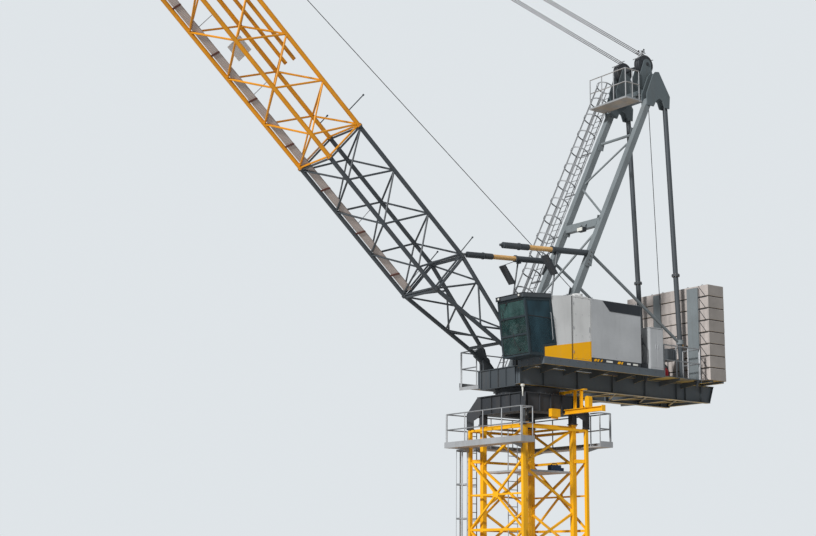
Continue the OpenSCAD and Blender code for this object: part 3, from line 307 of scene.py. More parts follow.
def window_glass(name, side, front):
    """Tinted glass: a clearer front pane with a darker sun band at its top, and nearly opaque side panes that are
    darker than the front as painted shade.
    """
    g = Graph(name)
    haze = g.noise(2.2, 4.0, (1.0, 1.0, 0.5)).ramp(0.38, 0.68)
    sideways = g.sideways()
    band = (g.axis("Z") - SLEW_Z).ramp(1.98, 2.06)
    clear = g.mix(haze, shade(front, 0.7), shade(front, 1.5))
    # Painted shade: the side panes get the darker side colour and more opacity than the front.
    g.set(base_color=g.mix(sideways, clear, g.mix(haze, shade(side, 0.75), shade(side, 1.5))),
          roughness=0.08 + haze * 0.10, alpha=(0.30 + band * 0.45 + haze * 0.12) + sideways * 0.42,
          coat_weight=0.4)
    return g.material


def plain(name, colour, roughness, metallic=0.0):
    """A dull surface with only a slight variation."""
    g = Graph(name)
    cloud = g.noise(6.0, 4.0).ramp(0.35, 0.65)
    g.set(base_color=g.mix(cloud, shade(colour, 0.85), shade(colour, 1.1)), roughness=roughness, metallic=metallic)
    return g.material


# Mesh helpers.

def mesh_piece(name, points, faces, material, smooth=False):
    """A new object from points and faces in the row frame, in metres."""
    mesh = bpy.data.meshes.new(name)
    mesh.from_pydata([tuple(p) for p in points], [], faces)
    mesh.materials.append(material)
    if smooth:
        mesh.shade_smooth()
    mesh.update()
    piece = bpy.data.objects.new(name, mesh)
    bpy.context.scene.collection.objects.link(piece)
    return piece


def at_slew(x, y, z):
    """A place whose height is measured from the slewing plane."""
    return Vector((x, y, SLEW_Z + z))


def on_ground(x, y, z):
    """A place whose height is measured from the ground."""
    return Vector((x, y, z))


def on_jib(along, across, over):
    """A place on the jib: along it, across it and over its depth, in metres from the foot pins' axis."""
    forward = Vector((-math.cos(JIB_ANGLE), 0, math.sin(JIB_ANGLE)))
    upward = Vector((math.sin(JIB_ANGLE), 0, math.cos(JIB_ANGLE)))
    return FOOT + forward * along + Vector((0, across, 0)) + upward * over


FINISH = {}
TURNED = {"x": lambda a, b, c: (c, a, b), "y": lambda a, b, c: (a, c, b), "z": lambda a, b, c: (a, b, c)}


def circle(sides, first=0):
    """Angles spread evenly round a circle."""
    return [2 * math.pi * (k + first) / sides for k in range(sides)]


def skin(rows, sides):
    """Faces that join rows of points into a closed bar, with a cap at each end."""
    faces = [(j * sides + k, j * sides + (k + 1) % sides, (j + 1) * sides + (k + 1) % sides, (j + 1) * sides + k)
             for j in range(rows - 1) for k in range(sides)]
    return faces + [tuple(reversed(range(sides))), tuple(range((rows - 1) * sides, rows * sides))]


class Shape:
    """Points and faces of several simple solids gathered into one piece. place maps local points to the crane."""

    def __init__(self, place=at_slew):
        self.place = place
        self.points, self.faces = [], []

    def add(self, points, faces):
        base = len(self.points)
        self.points += [self.place(*p) for p in points]
        self.faces += [tuple(base + i for i in face) for face in faces]

    def box(self, low, high, bevel=0.0):
        """A block from corner to corner, its edges chamfered by bevel."""
        (x0, y0, z0), (x1, y1, z1) = low, high
        if not bevel:
            points = [(x, y, z) for x in (x0, x1) for y in (y0, y1) for z in (z0, z1)]
            self.add(points, [(0, 1, 3, 2), (4, 6, 7, 5), (0, 4, 5, 1), (2, 3, 7, 6), (0, 2, 6, 4), (1, 5, 7, 3)])
            return
        mesh = bmesh.new()
        for sx, x in ((1, x0), (-1, x1)):
            for sy, y in ((1, y0), (-1, y1)):
                for sz, z in ((1, z0), (-1, z1)):
                    for move in ((0, 1, 1), (1, 0, 1), (1, 1, 0)):
                        mesh.verts.new((x + sx * bevel * move[0], y + sy * bevel * move[1], z + sz * bevel * move[2]))
        bmesh.ops.convex_hull(mesh, input=mesh.verts)
        mesh.verts.index_update()
        self.add([tuple(v.co) for v in mesh.verts], [tuple(v.index for v in face.verts) for face in mesh.faces])
        mesh.free()

    def prism(self, outline, axis, low, high):
        """An outline extruded along an axis: its points are (y, z), (x, z) or (x, y) for axis x, y or z."""
        self.add([TURNED[axis](a, b, c) for c in (low, high) for a, b in outline], skin(2, len(outline)))

    def tube(self, start, end, radius, sides=8):
        """A closed bar between two points."""
        self.lathe(start, end, [(0, radius), (1, radius)], sides)

    def chain(self, points, radius, sides=6):
        """Bars that follow a line of points."""
        for start, end in zip(points, points[1:]):
            self.tube(start, end, radius, sides)

    def ring(self, centre, axis, inner, outer, thick, sides=32):
        """A flat ring round an axis (x, y or z), thick along it."""
        points = []
        for radius, level in ((inner, -thick / 2), (outer, -thick / 2), (outer, thick / 2), (inner, thick / 2)):
            for a in circle(sides):
                spot = TURNED[axis](radius * math.cos(a), radius * math.sin(a), level)
                points.append(tuple(c + s for c, s in zip(centre, spot)))
        self.add(points, [(j * sides + k, j * sides + (k + 1) % sides, (j + 1) % 4 * sides + (k + 1) % sides,
                           (j + 1) % 4 * sides + k) for j in range(4) for k in range(sides)])

    def lathe(self, start, end, profile, sides=24):
        """A turned solid from start to end. profile is a list of (part of the length, radius)."""
        start, end = Vector(start), Vector(end)
        along = (end - start).normalized()
        side = along.orthogonal().normalized()
        up = along.cross(side)
        self.add([tuple(start.lerp(end, part) + (side * math.cos(a) + up * math.sin(a)) * radius)
                  for part, radius in profile for a in circle(sides)], skin(len(profile), sides))

    def cushion(self, low, high, power, rings=14, sides=28):
        """A crowned pad that fills a box: a rounded solid with soft edges."""
        def bend(value):
            return math.copysign(abs(value) ** power, value)

        middle = [(a + b) / 2 for a, b in zip(low, high)]
        half = [(b - a) / 2 for a, b in zip(low, high)]
        points = []
        for j in range(1, rings):
            tilt = math.pi * j / rings - math.pi / 2
            for a in circle(sides):
                points.append((middle[0] + half[0] * bend(math.cos(tilt)) * bend(math.cos(a)),
                               middle[1] + half[1] * bend(math.cos(tilt)) * bend(math.sin(a)),
                               middle[2] + half[2] * bend(math.sin(tilt))))
        self.add(points, skin(rings - 1, sides))

    def bolt(self, place, direction, width):
        """A hexagon head on a washer, with the thread's end on top."""
        place, direction = Vector(place), Vector(direction).normalized()
        for low, high, radius, sides in ((0, 0.12, 0.75, 12), (0.12, 0.75, 0.56, 6), (0.75, 1, 0.3, 8)):
            self.tube(place + direction * width * low, place + direction * width * high, width * radius, sides)

    def piece(self, name, finish, body="upper", smooth=False):
        """The gathered solids as one object with a finish that rides on a body."""
        made = mesh_piece(name, self.points, self.faces, FINISH[finish], smooth)
        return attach(made, body)


# User settings.

class CraneColours(bpy.types.PropertyGroup):
    """Paint colours of the crane's parts."""
    tower: bpy.props.FloatVectorProperty(name="Tower", description="Paint of the mast and climbing frame",
                                         subtype="COLOR", size=3, default=(0.88, 0.43, 0.008), min=0, max=1)
    jib: bpy.props.FloatVectorProperty(name="Jib", description="Paint of the jib's outer sections",
                                       subtype="COLOR", size=3, default=(0.78, 0.31, 0.010), min=0, max=1)
    dark: bpy.props.FloatVectorProperty(name="Dark steel", description="Paint of the slewing part and the inner jib",
                                        subtype="COLOR", size=3, default=(0.100, 0.116, 0.130), min=0, max=1)
    panel: bpy.props.FloatVectorProperty(name="Panels", description="Paint of the cabinets behind the cab",
                                         subtype="COLOR", size=3, default=(0.66, 0.66, 0.65), min=0, max=1)
    stripe: bpy.props.FloatVectorProperty(name="Stripe", description="Paint of the stripe along the cabinets' foot",
                                          subtype="COLOR", size=3, default=(0.98, 0.46, 0.002), min=0, max=1)


class CraneSizes(bpy.types.PropertyGroup):
    """Sizes of the ropes that are strung round the frame."""
    rope: bpy.props.FloatProperty(name="Rope diameter", description="Diameter of the luffing and hoist ropes",
                                  subtype="DISTANCE", unit="LENGTH", default=0.024, min=0.012, max=0.04)


# Operators.

class CRANE_OT_finishes(bpy.types.Operator):
    """Gives every node of the frame its finish"""
    bl_idname = "crane.finishes"
    bl_label = "Finishes"

    def execute(self, context):
        colours = context.scene.crane_colours
        # A warm colour for the deck's faces that look down: painted bounce light.
        bounce_gold = (0.62, 0.40, 0.09)
        FINISH.update({
            "tower_yellow": painted("Tower yellow", colours.tower, 0.40, 0.22, 0.4),
            "climbing_yellow": painted("Climbing frame yellow", colours.tower, 0.40, 0.18, 0.3),
            "jib_yellow": painted("Jib yellow", colours.jib, 0.40, 0.24, 0.4),
            "slate_paint": painted("Slate paint", shade(colours.dark, 0.62), 0.42, 0.30),
            "leg_grey": painted("Leg grey", (0.20, 0.225, 0.235), 0.40, 0.30),
            "head_grey": painted("Head grey", (0.125, 0.150, 0.160), 0.40, 0.30),
            "rusty": painted("Rusty bars", (0.10, 0.036, 0.026), 0.6, 0.3),
            "rod_cream": painted("Rod primer", (0.74, 0.44, 0.17), 0.45, 0.18),
            "cab_frame": painted("Cab frame", (0.028, 0.042, 0.050), 0.38, 0.15),
            "deck_paint": painted("Deck paint", colours.dark, 0.42, 0.30, underside_bounce=bounce_gold),
            "dark_steel": painted("Dark steel", (0.040, 0.044, 0.050), 0.5, 0.3),
            "galvanised": galvanised("Galvanised", (0.36, 0.37, 0.38)),
            # The platform floors' faces that look down take a brown colour: painted bounce light.
            "floor_zinc": painted("Platform floors", (0.34, 0.35, 0.36), 0.5, 0.35, dirt_colour=(0.16, 0.13, 0.10),
                                  underside_bounce=(0.46, 0.37, 0.28)),
            "pale_panel": painted("Pale panel", colours.panel, 0.38, 0.12, dirt_colour=(0.25, 0.24, 0.22),
                                  stripe=(tuple(colours.stripe), (-1.33, 1.10), 0.18)),
            "housing_grey": painted("Housing grey", (0.44, 0.45, 0.46), 0.42, 0.12, dirt_colour=(0.2, 0.19, 0.18)),
            # The side panes' darker colour is painted shade.
            "window_glass": window_glass("Window glass", (0.015, 0.042, 0.056), (0.040, 0.085, 0.080)),
            "seat_cloth": plain("Seat cloth", (0.03, 0.03, 0.035), 0.9),
            "winch_red": painted("Winch red", (0.30, 0.03, 0.02), 0.45, 0.35),
            # The concrete's faces along the crane get a darker colour as painted shade, and those that look down a warm
            # one as painted bounce light.
            "concrete": concrete("Ballast concrete", (0.48, 0.43, 0.40), (0.27, 0.245, 0.225), (0.42, 0.26, 0.07)),
            "grating": grating("Grating", (0.80, 0.68, 0.62)),
            "wire_rope": plain("Wire rope", (0.05, 0.05, 0.05), 0.55, 0.6),
            "greased_rope": plain("Greased rope", (0.045, 0.008, 0.012), 0.8),
            "stripe": painted("Stripe yellow", colours.stripe, 0.4, 0.12),
            "tool_blue": painted("Tool box blue", (0.008, 0.028, 0.070), 0.4, 0.2),
            "screen": plain("Screens", (0.02, 0.09, 0.10), 0.25),
            "rubber": plain("Rubber", (0.02, 0.02, 0.022), 0.7),
            "signal_red": painted("Signal red", (0.55, 0.02, 0.03), 0.4, 0.15),
            "lamp_glass": plain("Lamp glass", (0.75, 0.74, 0.68), 0.2),
            "bare_bolts": plain("Bolts", (0.22, 0.21, 0.20), 0.45, 0.7),
            "bare_slate": painted("Bare dark plate", (0.030, 0.034, 0.040), 0.35, 0.1),
        })
        slots = {part["node"]: part["material_slot"] for part in frame["record"]["subparts"]}
        finish = {"near_deck": "deck_paint", "main_girders": "deck_paint", "ballast_seat": "deck_paint",
                  "climbing_walkway": "floor_zinc", "far_walkway": "floor_zinc", "head_platform": "floor_zinc",
                  "mast_platforms": "floor_zinc", "side_plate": "bare_slate", "front_legs": "leg_grey",
                  "ballast_frames": "leg_grey", "backstop_rods": "rod_cream", "cab_shell": "cab_frame",
                  "head_plates": "head_grey"}
        for name, node in NODES.items():
            node.data.materials.clear()
            node.data.materials.append(FINISH[finish.get(name, slots[name])])
        return {"FINISHED"}


def straight_rope(name, ends, radius, finish):
    """A taut rope with a ring of points at each end."""
    start, end = ends
    shape = Shape(on_ground)
    shape.tube(start, end, radius, 10)
    rope = mesh_piece(name, shape.points, shape.faces, FINISH[finish], True)
    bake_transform(rope)
    return rope


def over_sheaves(first, first_radius, first_y, second, second_radius, second_y):
    """The ends of a rope that leaves the tops of two sheaves. first and second are the sheaves' middles."""
    run = (second.xz - first.xz).normalized()
    up = Vector((-run[1], run[0])) if run[0] > 0 else Vector((run[1], -run[0]))
    low = first.xz + up * (first_radius + GROOVE_LIFT)
    high = second.xz + up * (second_radius + GROOVE_LIFT)
    return Vector((low[0], first_y, low[1])), Vector((high[0], second_y, high[1]))


class CRANE_OT_ropes(bpy.types.Operator):
    """Strings the luffing ropes, the hoist rope and the luffing rope's lead to its winch"""
    bl_idname = "crane.ropes"
    bl_label = "Ropes"

    def execute(self, context):
        radius = context.scene.crane_sizes.rope / 2
        head = at_slew(HEAD_AXLE[0], 0, HEAD_AXLE[1])
        luff_tip = on_jib(JIB_LENGTH - 0.06, 0, HALF_DEPTH + 0.26)
        for side in (-1, 1):
            for k, (low_y, high_y) in enumerate(zip(SHEAVE_PLANES, (0.18, 0.27, 0.36))):
                rope = straight_rope(f"Luffing_rope_{'near' if side < 0 else 'far'}_{k + 1}",
                                     over_sheaves(head, 0.355, side * low_y, luff_tip, 0.240, side * high_y),
                                     radius, "greased_rope")
                if side < 0 and k == 0:
                    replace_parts(rope, "luffing_ropes")
        drum = at_slew(HOIST_DRUM[0], 0, HOIST_DRUM[1])
        guide = on_jib(JIB_LENGTH + 0.18, 0, HALF_DEPTH + 0.66)
        rope = straight_rope("Hoist_rope", over_sheaves(drum, 0.354, 0, guide, 0.200, 0), radius, "wire_rope")
        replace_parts(rope, "hoist_rope")
        lead = Shape()
        lead.chain([(5.61, -0.42, 12.33), (5.62, -0.40, 10.97), (5.95, -0.40, 3.73), (6.11, -0.40, 1.36)], radius, 8)
        lead.piece("Luffing_rope_lead", "wire_rope", smooth=True)
        return {"FINISHED"}


class CRANE_OT_ballast(bpy.types.Operator):
    """Stacks the ballast: bevelled blocks with dark bands in the joints as painted shade, lifting eyes and thin zigzag
    rods in front
    """
    bl_idname = "crane.ballast"
    bl_label = "Ballast"

    def execute(self, context):
        low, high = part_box("ballast_blocks")
        layers, gap = 8, 0.030
        step = (high.z - low.z) / layers
        stack, joint_shade = Shape(on_ground), Shape(on_ground)
        chance = random.Random(7)
        splits = [low.y, low.y + (high.y - low.y) / 3, high.y - (high.y - low.y) / 3, high.y]
        for layer in range(layers):
            for left, right in zip(splits, splits[1:]):
                slip = chance.uniform(0.0, 0.012)
                stack.box((low.x + slip, left + 0.004, low.z + layer * step + (gap if layer else 0.0)),
                          (high.x - chance.uniform(0.0, 0.012), right - 0.004, low.z + (layer + 1) * step), 0.010)
                # Dark slabs fill the gaps between the layers: painted shade in the joints.
                if layer:
                    joint_shade.box((low.x + 0.016, left + 0.012, low.z + layer * step - 0.012),
                               (high.x - 0.016, right - 0.012, low.z + layer * step + gap + 0.012))
        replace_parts(stack.piece("Ballast_stack", "concrete"), "ballast_blocks")
        joint_shade.piece("Ballast_joints", "rubber")
        rods = Shape(on_ground)
        x = low.x - 0.022
        for layer in range(layers):
            z = low.z + layer * step
            rods.chain([(x, -1.60, z + step * 0.97), (x, -1.90, z + step * 0.10)], 0.011)
            rods.chain([(x, -1.58, z + step * 0.02), (x, -1.98, z + step * 0.02)], 0.011)
        rods.chain([(x, -1.62, low.z + 0.05), (x, -1.62, high.z - 0.1)], 0.010)
        rods.piece("Ballast_rods", "dark_steel")
        eyes = Shape(on_ground)
        for y in (-1.6, -0.9, -0.35, 0.35, 0.9, 1.6):
            for x in (low.x + 0.2, high.x - 0.2):
                eyes.chain([(x, y - 0.05, high.z - 0.002), (x, y - 0.045, high.z + 0.05), (x, y, high.z + 0.075),
                            (x, y + 0.045, high.z + 0.05), (x, y + 0.05, high.z - 0.002)], 0.009)
        eyes.piece("Ballast_eyes", "galvanised")
        return {"FINISHED"}


def front_x(z):
    """The cab's leaning front plane at a height."""
    return -1.95 - 0.22 * (z - 0.8) / 1.82


class CRANE_OT_cab(bpy.types.Operator):
    """Fits out the cab: trims, seals, wipers, roof edge, lamps, rails, controls, screens and the driver's seat"""
    bl_idname = "crane.cab"
    bl_label = "Cab"

    def execute(self, context):
        trims = Shape()
        for low, high in ((-2.408, -2.400), (-1.070, -1.062)):
            trims.prism([(front_x(0.88) - 0.004, 0.88), (front_x(0.88) + 0.055, 0.88), (front_x(2.60) + 0.055, 2.60),
                         (front_x(2.60) - 0.004, 2.60)], "y", low, high)
        trims.piece("Cab_trims", "cab_frame")
        seals = Shape()
        for z in (0.872, 1.435, 1.492, 2.000, 2.057, 2.545):
            seals.chain([(front_x(z) + 0.012, -2.335, z), (front_x(z) + 0.012, -1.135, z)], 0.009)
        for y in (-2.394, -1.098):
            seals.box((-2.03, y, 2.035), (-1.03, y + 0.012, 2.060), 0.003)
        for y in (-2.338, -1.132):
            seals.chain([(front_x(0.87) + 0.014, y, 0.87), (front_x(2.55) + 0.014, y, 2.55)], 0.009)
        seals.piece("Cab_seals", "rubber")
        wiper = Shape()
        for y, z, reach in ((-1.95, 0.98, 0.34), (-1.50, 2.50, -0.34)):
            hub = (front_x(z) - 0.012, y, z)
            tip = (front_x(z + reach) - 0.030, y + 0.22, z + reach)
            wiper.lathe((hub[0] + 0.03, y, z), (hub[0] - 0.02, y, z), [(0, 0.03), (0.7, 0.03), (1, 0.018)], 12)
            wiper.chain([hub, tip], 0.008)
            wiper.chain([(tip[0] + 0.012 + 0.02, tip[1] - 0.03, tip[2] - 0.22),
                         (tip[0] + 0.012 - 0.02, tip[1] + 0.03, tip[2] + 0.22)], 0.007, 5)
        wiper.piece("Cab_wipers", "rubber")
        roof = Shape()
        roof.chain([(-2.25, -2.42, 2.745), (-1.06, -2.42, 2.836), (-1.06, -1.07, 2.836), (-2.25, -1.07, 2.745),
                    (-2.25, -2.42, 2.745)], 0.014)
        for x in (-2.0, -1.72, -1.44, -1.18):
            z = 2.738 + (x + 2.24) * 0.078
            roof.box((x - 0.02, -2.38, z - 0.004), (x + 0.02, -1.11, z + 0.022), 0.006)
        lamps = Shape()
        for y in (-2.25, -1.24):
            roof.box((-2.275, y - 0.09, 2.63), (-2.205, y + 0.09, 2.73), 0.012)
            lamps.lathe((-2.274, y, 2.68), (-2.290, y, 2.68), [(0, 0.036), (0.6, 0.036), (1, 0.028)], 16)
        roof.piece("Cab_roof_edge", "dark_steel")
        lamps.piece("Cab_lamps", "lamp_glass")
        rails = Shape()
        rails.chain([(-1.02, -2.43, 1.35), (-1.02, -2.46, 1.37), (-1.10, -2.46, 2.20), (-1.10, -2.43, 2.22)], 0.013, 8)
        rails.piece("Cab_rails", "galvanised")
        inside = Shape()
        inside.prism([(-1.93, 0.86), (-1.80, 0.86), (-1.80, 1.06), (-1.90, 1.10), (-1.95, 1.06)], "y", -2.1, -1.37)
        for side in (-1, 1):
            y = -1.735 + side * 0.34
            inside.box((-1.84, y - 0.075, 1.22), (-1.40, y + 0.075, 1.36), 0.02)
            inside.box((-1.60, y - 0.05, 0.86), (-1.48, y + 0.05, 1.22), 0.01)
            inside.lathe((-1.77, y, 1.36), (-1.77, y, 1.55), [(0, 0.035), (0.2, 0.018), (0.6, 0.014), (0.7, 0.026),
                                                             (1, 0.02)], 12)
        inside.chain([(-1.93, -2.20, 1.05), (-1.96, -2.20, 1.42), (-1.93, -2.16, 1.52)], 0.014, 8)
        inside.box((-1.95, -2.27, 1.52), (-1.91, -2.03, 1.74), 0.010)
        inside.box((-2.02, -1.30, 2.36), (-1.60, -1.16, 2.50), 0.02)
        inside.piece("Cab_controls", "rubber")
        screen = Shape()
        screen.box((-1.911, -2.255, 1.545), (-1.904, -2.045, 1.715))
        screen.box((-2.004, -1.29, 2.38), (-1.62, -1.298, 2.48), 0.002)
        screen.piece("Cab_screen", "screen")
        seat = Shape()
        seat.cushion((-1.78, -1.96, 1.13), (-1.37, -1.51, 1.27), 0.40)
        seat.cushion((-1.43, -1.95, 1.25), (-1.345, -1.52, 1.68), 0.45)
        seat.cushion((-1.42, -1.86, 1.70), (-1.350, -1.61, 1.85), 0.50)
        pads = seat.piece("Driver_seat_pads", "seat_cloth", smooth=True)
        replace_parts(pads, "cab_seat")
        base = Shape()
        base.lathe((-1.56, -1.735, 0.852), (-1.56, -1.735, 1.13), [(0, 0.17), (0.08, 0.17), (0.1, 0.10), (0.25, 0.13),
                   (0.35, 0.10), (0.5, 0.13), (0.6, 0.10), (0.75, 0.13), (0.85, 0.10), (0.9, 0.19), (1, 0.19)], 20)
        for side in (-1, 1):
            y = -1.735 + side * 0.225
            base.chain([(-1.39, y, 1.20), (-1.39, y, 1.42), (-1.66, y, 1.44)], 0.016, 8)
        for y in (-1.80, -1.67):
            base.chain([(-1.385, y, 1.66), (-1.385, y, 1.76)], 0.010)
        base.piece("Driver_seat_base", "rubber")
        return {"FINISHED"}


class CRANE_OT_housings(bpy.types.Operator):
    """Adds seams, hinges, handles, vents, roof parts, foot marks and a drive to the cabinets and the housing"""
    bl_idname = "crane.housings"
    bl_label = "Housings"

    def execute(self, context):
        seams, metal, dark = Shape(), Shape(), Shape()
        y = -2.4015
        x0, x1, z0, z1 = -0.10, 0.67, 0.84, 2.85
        for left, right, low, high in ((x0, x1, z0, z0), (x1, x1, z0, z1), (x0, x1, z1, z1), (x0, x0, z0, z1)):
            seams.box((left - 0.003, y, low - 0.003), (right + 0.003, y + 0.003, high + 0.003))
        seams.box((-0.164, -2.402, 0.80), (-0.130, -2.36, 2.885))
        seams.piece("Cabinet_seams", "rubber")
        for z in (1.05, 1.85, 2.65):
            metal.tube((-0.085, -2.408, z - 0.05), (-0.085, -2.408, z + 0.05), 0.009, 8)
        metal.box((0.60, -2.412, 1.75), (0.625, -2.400, 1.92), 0.004)
        for x in (0.02, 0.30, 0.60):
            for z in (0.86, 1.60, 2.30, 2.84):
                metal.bolt((x, NEAR_FACE, z), (0, -1, 0), 0.014)
        for x in (0.78, 1.8, 2.88):
            for z in (2.84, 1.00):
                metal.bolt((x, NEAR_FACE, z), (0, -1, 0), 0.014)
        for x in (-1.0, -0.25, -0.05, 0.62, 0.85, 2.85):
            for wide in (-2.30, -1.26):
                metal.chain([(x - 0.04, wide, 2.885), (x - 0.035, wide, 2.93), (x, wide, 2.95), (x + 0.035, wide, 2.93),
                             (x + 0.04, wide, 2.885)], 0.008)
        metal.piece("Housing_hardware", "galvanised")
        dark.box((0.72, -2.392, 0.802), (2.94, -2.30, 0.935), 0.004)
        for x in (1.25, 1.9, 2.5):
            dark.box((x - 0.16, -1.9, 2.890), (x + 0.16, -1.55, 2.925), 0.012)
            for k in range(6):
                dark.box((x - 0.13 + 0.045 * k, -1.88, 2.925), (x - 0.115 + 0.045 * k, -1.57, 2.935))
        dark.piece("Housing_foot_and_vents", "dark_steel")
        marks = Shape()
        for x, wide in ((0.80, 0.10), (0.94, 0.07), (1.10, 0.05), (1.86, 0.12), (2.02, 0.06)):
            marks.prism([(x, 0.825), (x + wide, 0.825), (x + wide + 0.05, 0.905), (x + 0.05, 0.905)], "y", -2.396,
                        -2.392)
        marks.piece("Hazard_marks", "stripe")
        labels = Shape()
        for x, wide in ((1.36, 0.28), (2.30, 0.16), (2.58, 0.22)):
            labels.box((x, -2.396, 0.835), (x + wide, -2.392, 0.895), 0.001)
        labels.piece("Foot_labels", "lamp_glass")
        cover = Shape()
        cover.box((0.00, -2.36, 2.893), (0.62, -1.70, 2.935), 0.015)
        for k in range(4):
            cover.ring((0.36 + 0.01 * k, -2.05 - 0.01 * k, 2.945 + 0.026 * k), "z", 0.17 - 0.012 * k,
                       0.215 - 0.012 * k, 0.026, 24)
        cover.box((0.08, -2.28, 2.935), (0.26, -1.95, 2.985), 0.02)
        cover.piece("Roof_cover_and_coil", "pale_panel")
        cabinet = Shape()
        for left, right, handle in ((3.42, 3.70, 3.65), (3.72, 4.00, 3.75)):
            cabinet.box((left, -2.396, 0.86), (right, -2.388, 2.16), 0.004)
            cabinet.box((handle, -2.408, 1.50), (handle + 0.02, -2.394, 1.64), 0.003)
        cabinet.box((3.38, -2.41, 2.197), (4.04, -1.67, 2.222), 0.008)
        cabinet.piece("Control_cabinet_doors", "housing_grey")
        small = Shape()
        small.box((3.02, -2.20, 1.62), (3.30, -1.80, 1.86), 0.03)
        small.lathe((3.16, -2.26, 1.74), (3.16, -1.76, 1.74), [(0, 0.05), (0.1, 0.09), (0.9, 0.09), (1, 0.05)], 16)
        small.box((3.04, -2.30, 0.80), (3.34, -1.72, 0.98), 0.02)
        small.lathe((3.10, -2.1, 0.98), (3.10, -2.1, 1.62), [(0, 0.06), (0.2, 0.035), (0.8, 0.035), (1, 0.06)], 12)
        small.chain([(3.08, -2.30, 1.0), (3.12, -2.34, 1.3), (3.05, -2.33, 1.7), (3.16, -2.22, 1.95)], 0.014)
        small.chain([(3.22, -2.30, 0.95), (3.20, -2.36, 1.2), (3.28, -2.33, 1.5), (3.2, -2.26, 1.7)], 0.012)
        small.piece("Drive_behind_housing", "dark_steel")
        return {"FINISHED"}


class CRANE_OT_winches(bpy.types.Operator):
    """Winds rope on the drums and adds motors, brakes, guards and the things beside the winches"""
    bl_idname = "crane.winches"
    bl_label = "Winches"

    def execute(self, context):
        wound = Shape()
        for (x, z), radius, half in ((HOIST_DRUM, 0.330, 0.56), (LUFF_DRUM, 0.230, 0.40)):
            turns = int(half * 2 / 0.03)
            profile = []
            for k in range(turns):
                profile += [((k + 0.02) / turns, radius + 0.002), ((k + 0.28) / turns, radius + 0.016),
                            ((k + 0.72) / turns, radius + 0.016), ((k + 0.98) / turns, radius + 0.002)]
            wound.lathe((x, -half, z), (x, half, z), profile, 28)
        wound.piece("Rope_on_drums", "wire_rope")
        gear = Shape()
        for (x, z), radius, y in ((HOIST_DRUM, 0.24, 0.87), (LUFF_DRUM, 0.17, 0.72)):
            gear.lathe((x, y, z), (x, min(y + 0.36, 1.08), z), [(0, radius * 0.8), (0.05, radius), (0.3, radius),
                       (0.35, radius * 0.85), (0.4, radius), (0.6, radius), (0.65, radius * 0.85), (0.7, radius),
                       (0.95, radius), (1, radius * 0.6)])
        for (x, z), size, y in ((HOIST_DRUM, 0.30, -0.635), (LUFF_DRUM, 0.24, -0.485)):
            gear.lathe((x, y, z), (x, y - 0.16, z), [(0, size), (0.3, size), (0.35, size * 0.7), (0.8, size * 0.66),
                                                    (1, size * 0.4)])
            for a in circle(10):
                gear.bolt((x + size * 0.85 * math.cos(a), y - 0.05, z + size * 0.85 * math.sin(a)), (0, -1, 0), 0.03)
        gear.piece("Winch_gear", "dark_steel")
        guard = Shape()
        guard.box((5.72, -0.92, 1.47), (6.22, -0.50, 1.88), 0.02)
        for k in range(5):
            guard.box((5.76 + 0.09 * k, -0.935, 1.52), (5.80 + 0.09 * k, -0.918, 1.83), 0.004)
        for x in (5.74, 6.20):
            guard.chain([(x, -0.93, 1.46), (x, -0.93, 0.72)], 0.02)
        guard.piece("Winch_guard", "slate_paint")
        red = Shape()
        for x, y in ((4.83, -1.52), (5.02, -1.46)):
            red.box((x - 0.075, y - 0.13, 0.702), (x + 0.075, y + 0.13, 1.00), 0.03)
            red.lathe((x, y - 0.06, 0.99), (x, y - 0.06, 1.06), [(0, 0.03), (0.6, 0.03), (1, 0.022)], 12)
            red.chain([(x, y, 1.0), (x, y, 1.045), (x, y + 0.10, 1.045), (x, y + 0.10, 1.0)], 0.011)
        red.piece("Red_canisters", "signal_red")
        lamp = Shape()
        lamp.box((6.40, -1.02, 1.96), (6.46, -0.92, 2.06), 0.01)
        lamp.lathe((6.43, -0.97, 2.06), (6.43, -0.97, 2.14), [(0, 0.045), (0.6, 0.045), (1, 0.02)], 14)
        lamp.chain([(6.43, -0.97, 1.96), (6.43, -0.97, 0.72)], 0.018, 8)
        lamp.piece("Warning_lamp", "stripe")
        return {"FINISHED"}


class CRANE_OT_deck(bpy.types.Operator):
    """Closes the near deck's inner edge and adds its cones, bolts and the hanging bundle"""
    bl_idname = "crane.deck"
    bl_label = "Deck"

    def execute(self, context):
        beam = Shape()
        beam.box((-1.30, -1.130, 0.662), (6.28, -1.110, 0.775))
        for x in (-0.95, 0.4, 1.6, 2.8):
            beam.box((x - 0.06, -2.404, 0.58), (x + 0.06, -2.399, 0.76), 0.002)
        beam.piece("Deck_inner_edge", "deck_paint")
        feet = Shape()
        for x in (3.65, 6.15):
            feet.lathe((x, -1.90, 0.668), (x, -1.90, 0.40), [(0, 0.10), (0.25, 0.10), (0.3, 0.07), (0.85, 0.03),
                                                             (1, 0.015)], 14)
        feet.piece("Deck_cones", "dark_steel")
        hung = Shape()
        for k in range(5):
            shift = 0.012 * k
            hung.chain([(-1.25 + shift, -1.18, -0.02), (-1.22 - shift, -1.19 - shift, -0.35),
                        (-1.16 + shift, -1.22, -0.70), (-1.14, -1.25 + shift, -0.98)], 0.014)
        hung.box((-1.29, -1.24, -0.05), (-1.17, -1.14, 0.03), 0.02)
        hung.piece("Hanging_bundle", "lamp_glass")
        bolts = Shape()
        for y in (-2.2, -1.9, -1.6, -1.3):
            for z in (0.62, 0.74):
                bolts.bolt((-1.350, y, z), (-1, 0, 0), 0.03)
        for k in range(14):
            bolts.bolt((-1.1 + 0.39 * k, NEAR_FACE, 0.735), (0, -1, 0), 0.022)
        bolts.piece("Deck_bolts", "bare_bolts")
        return {"FINISHED"}


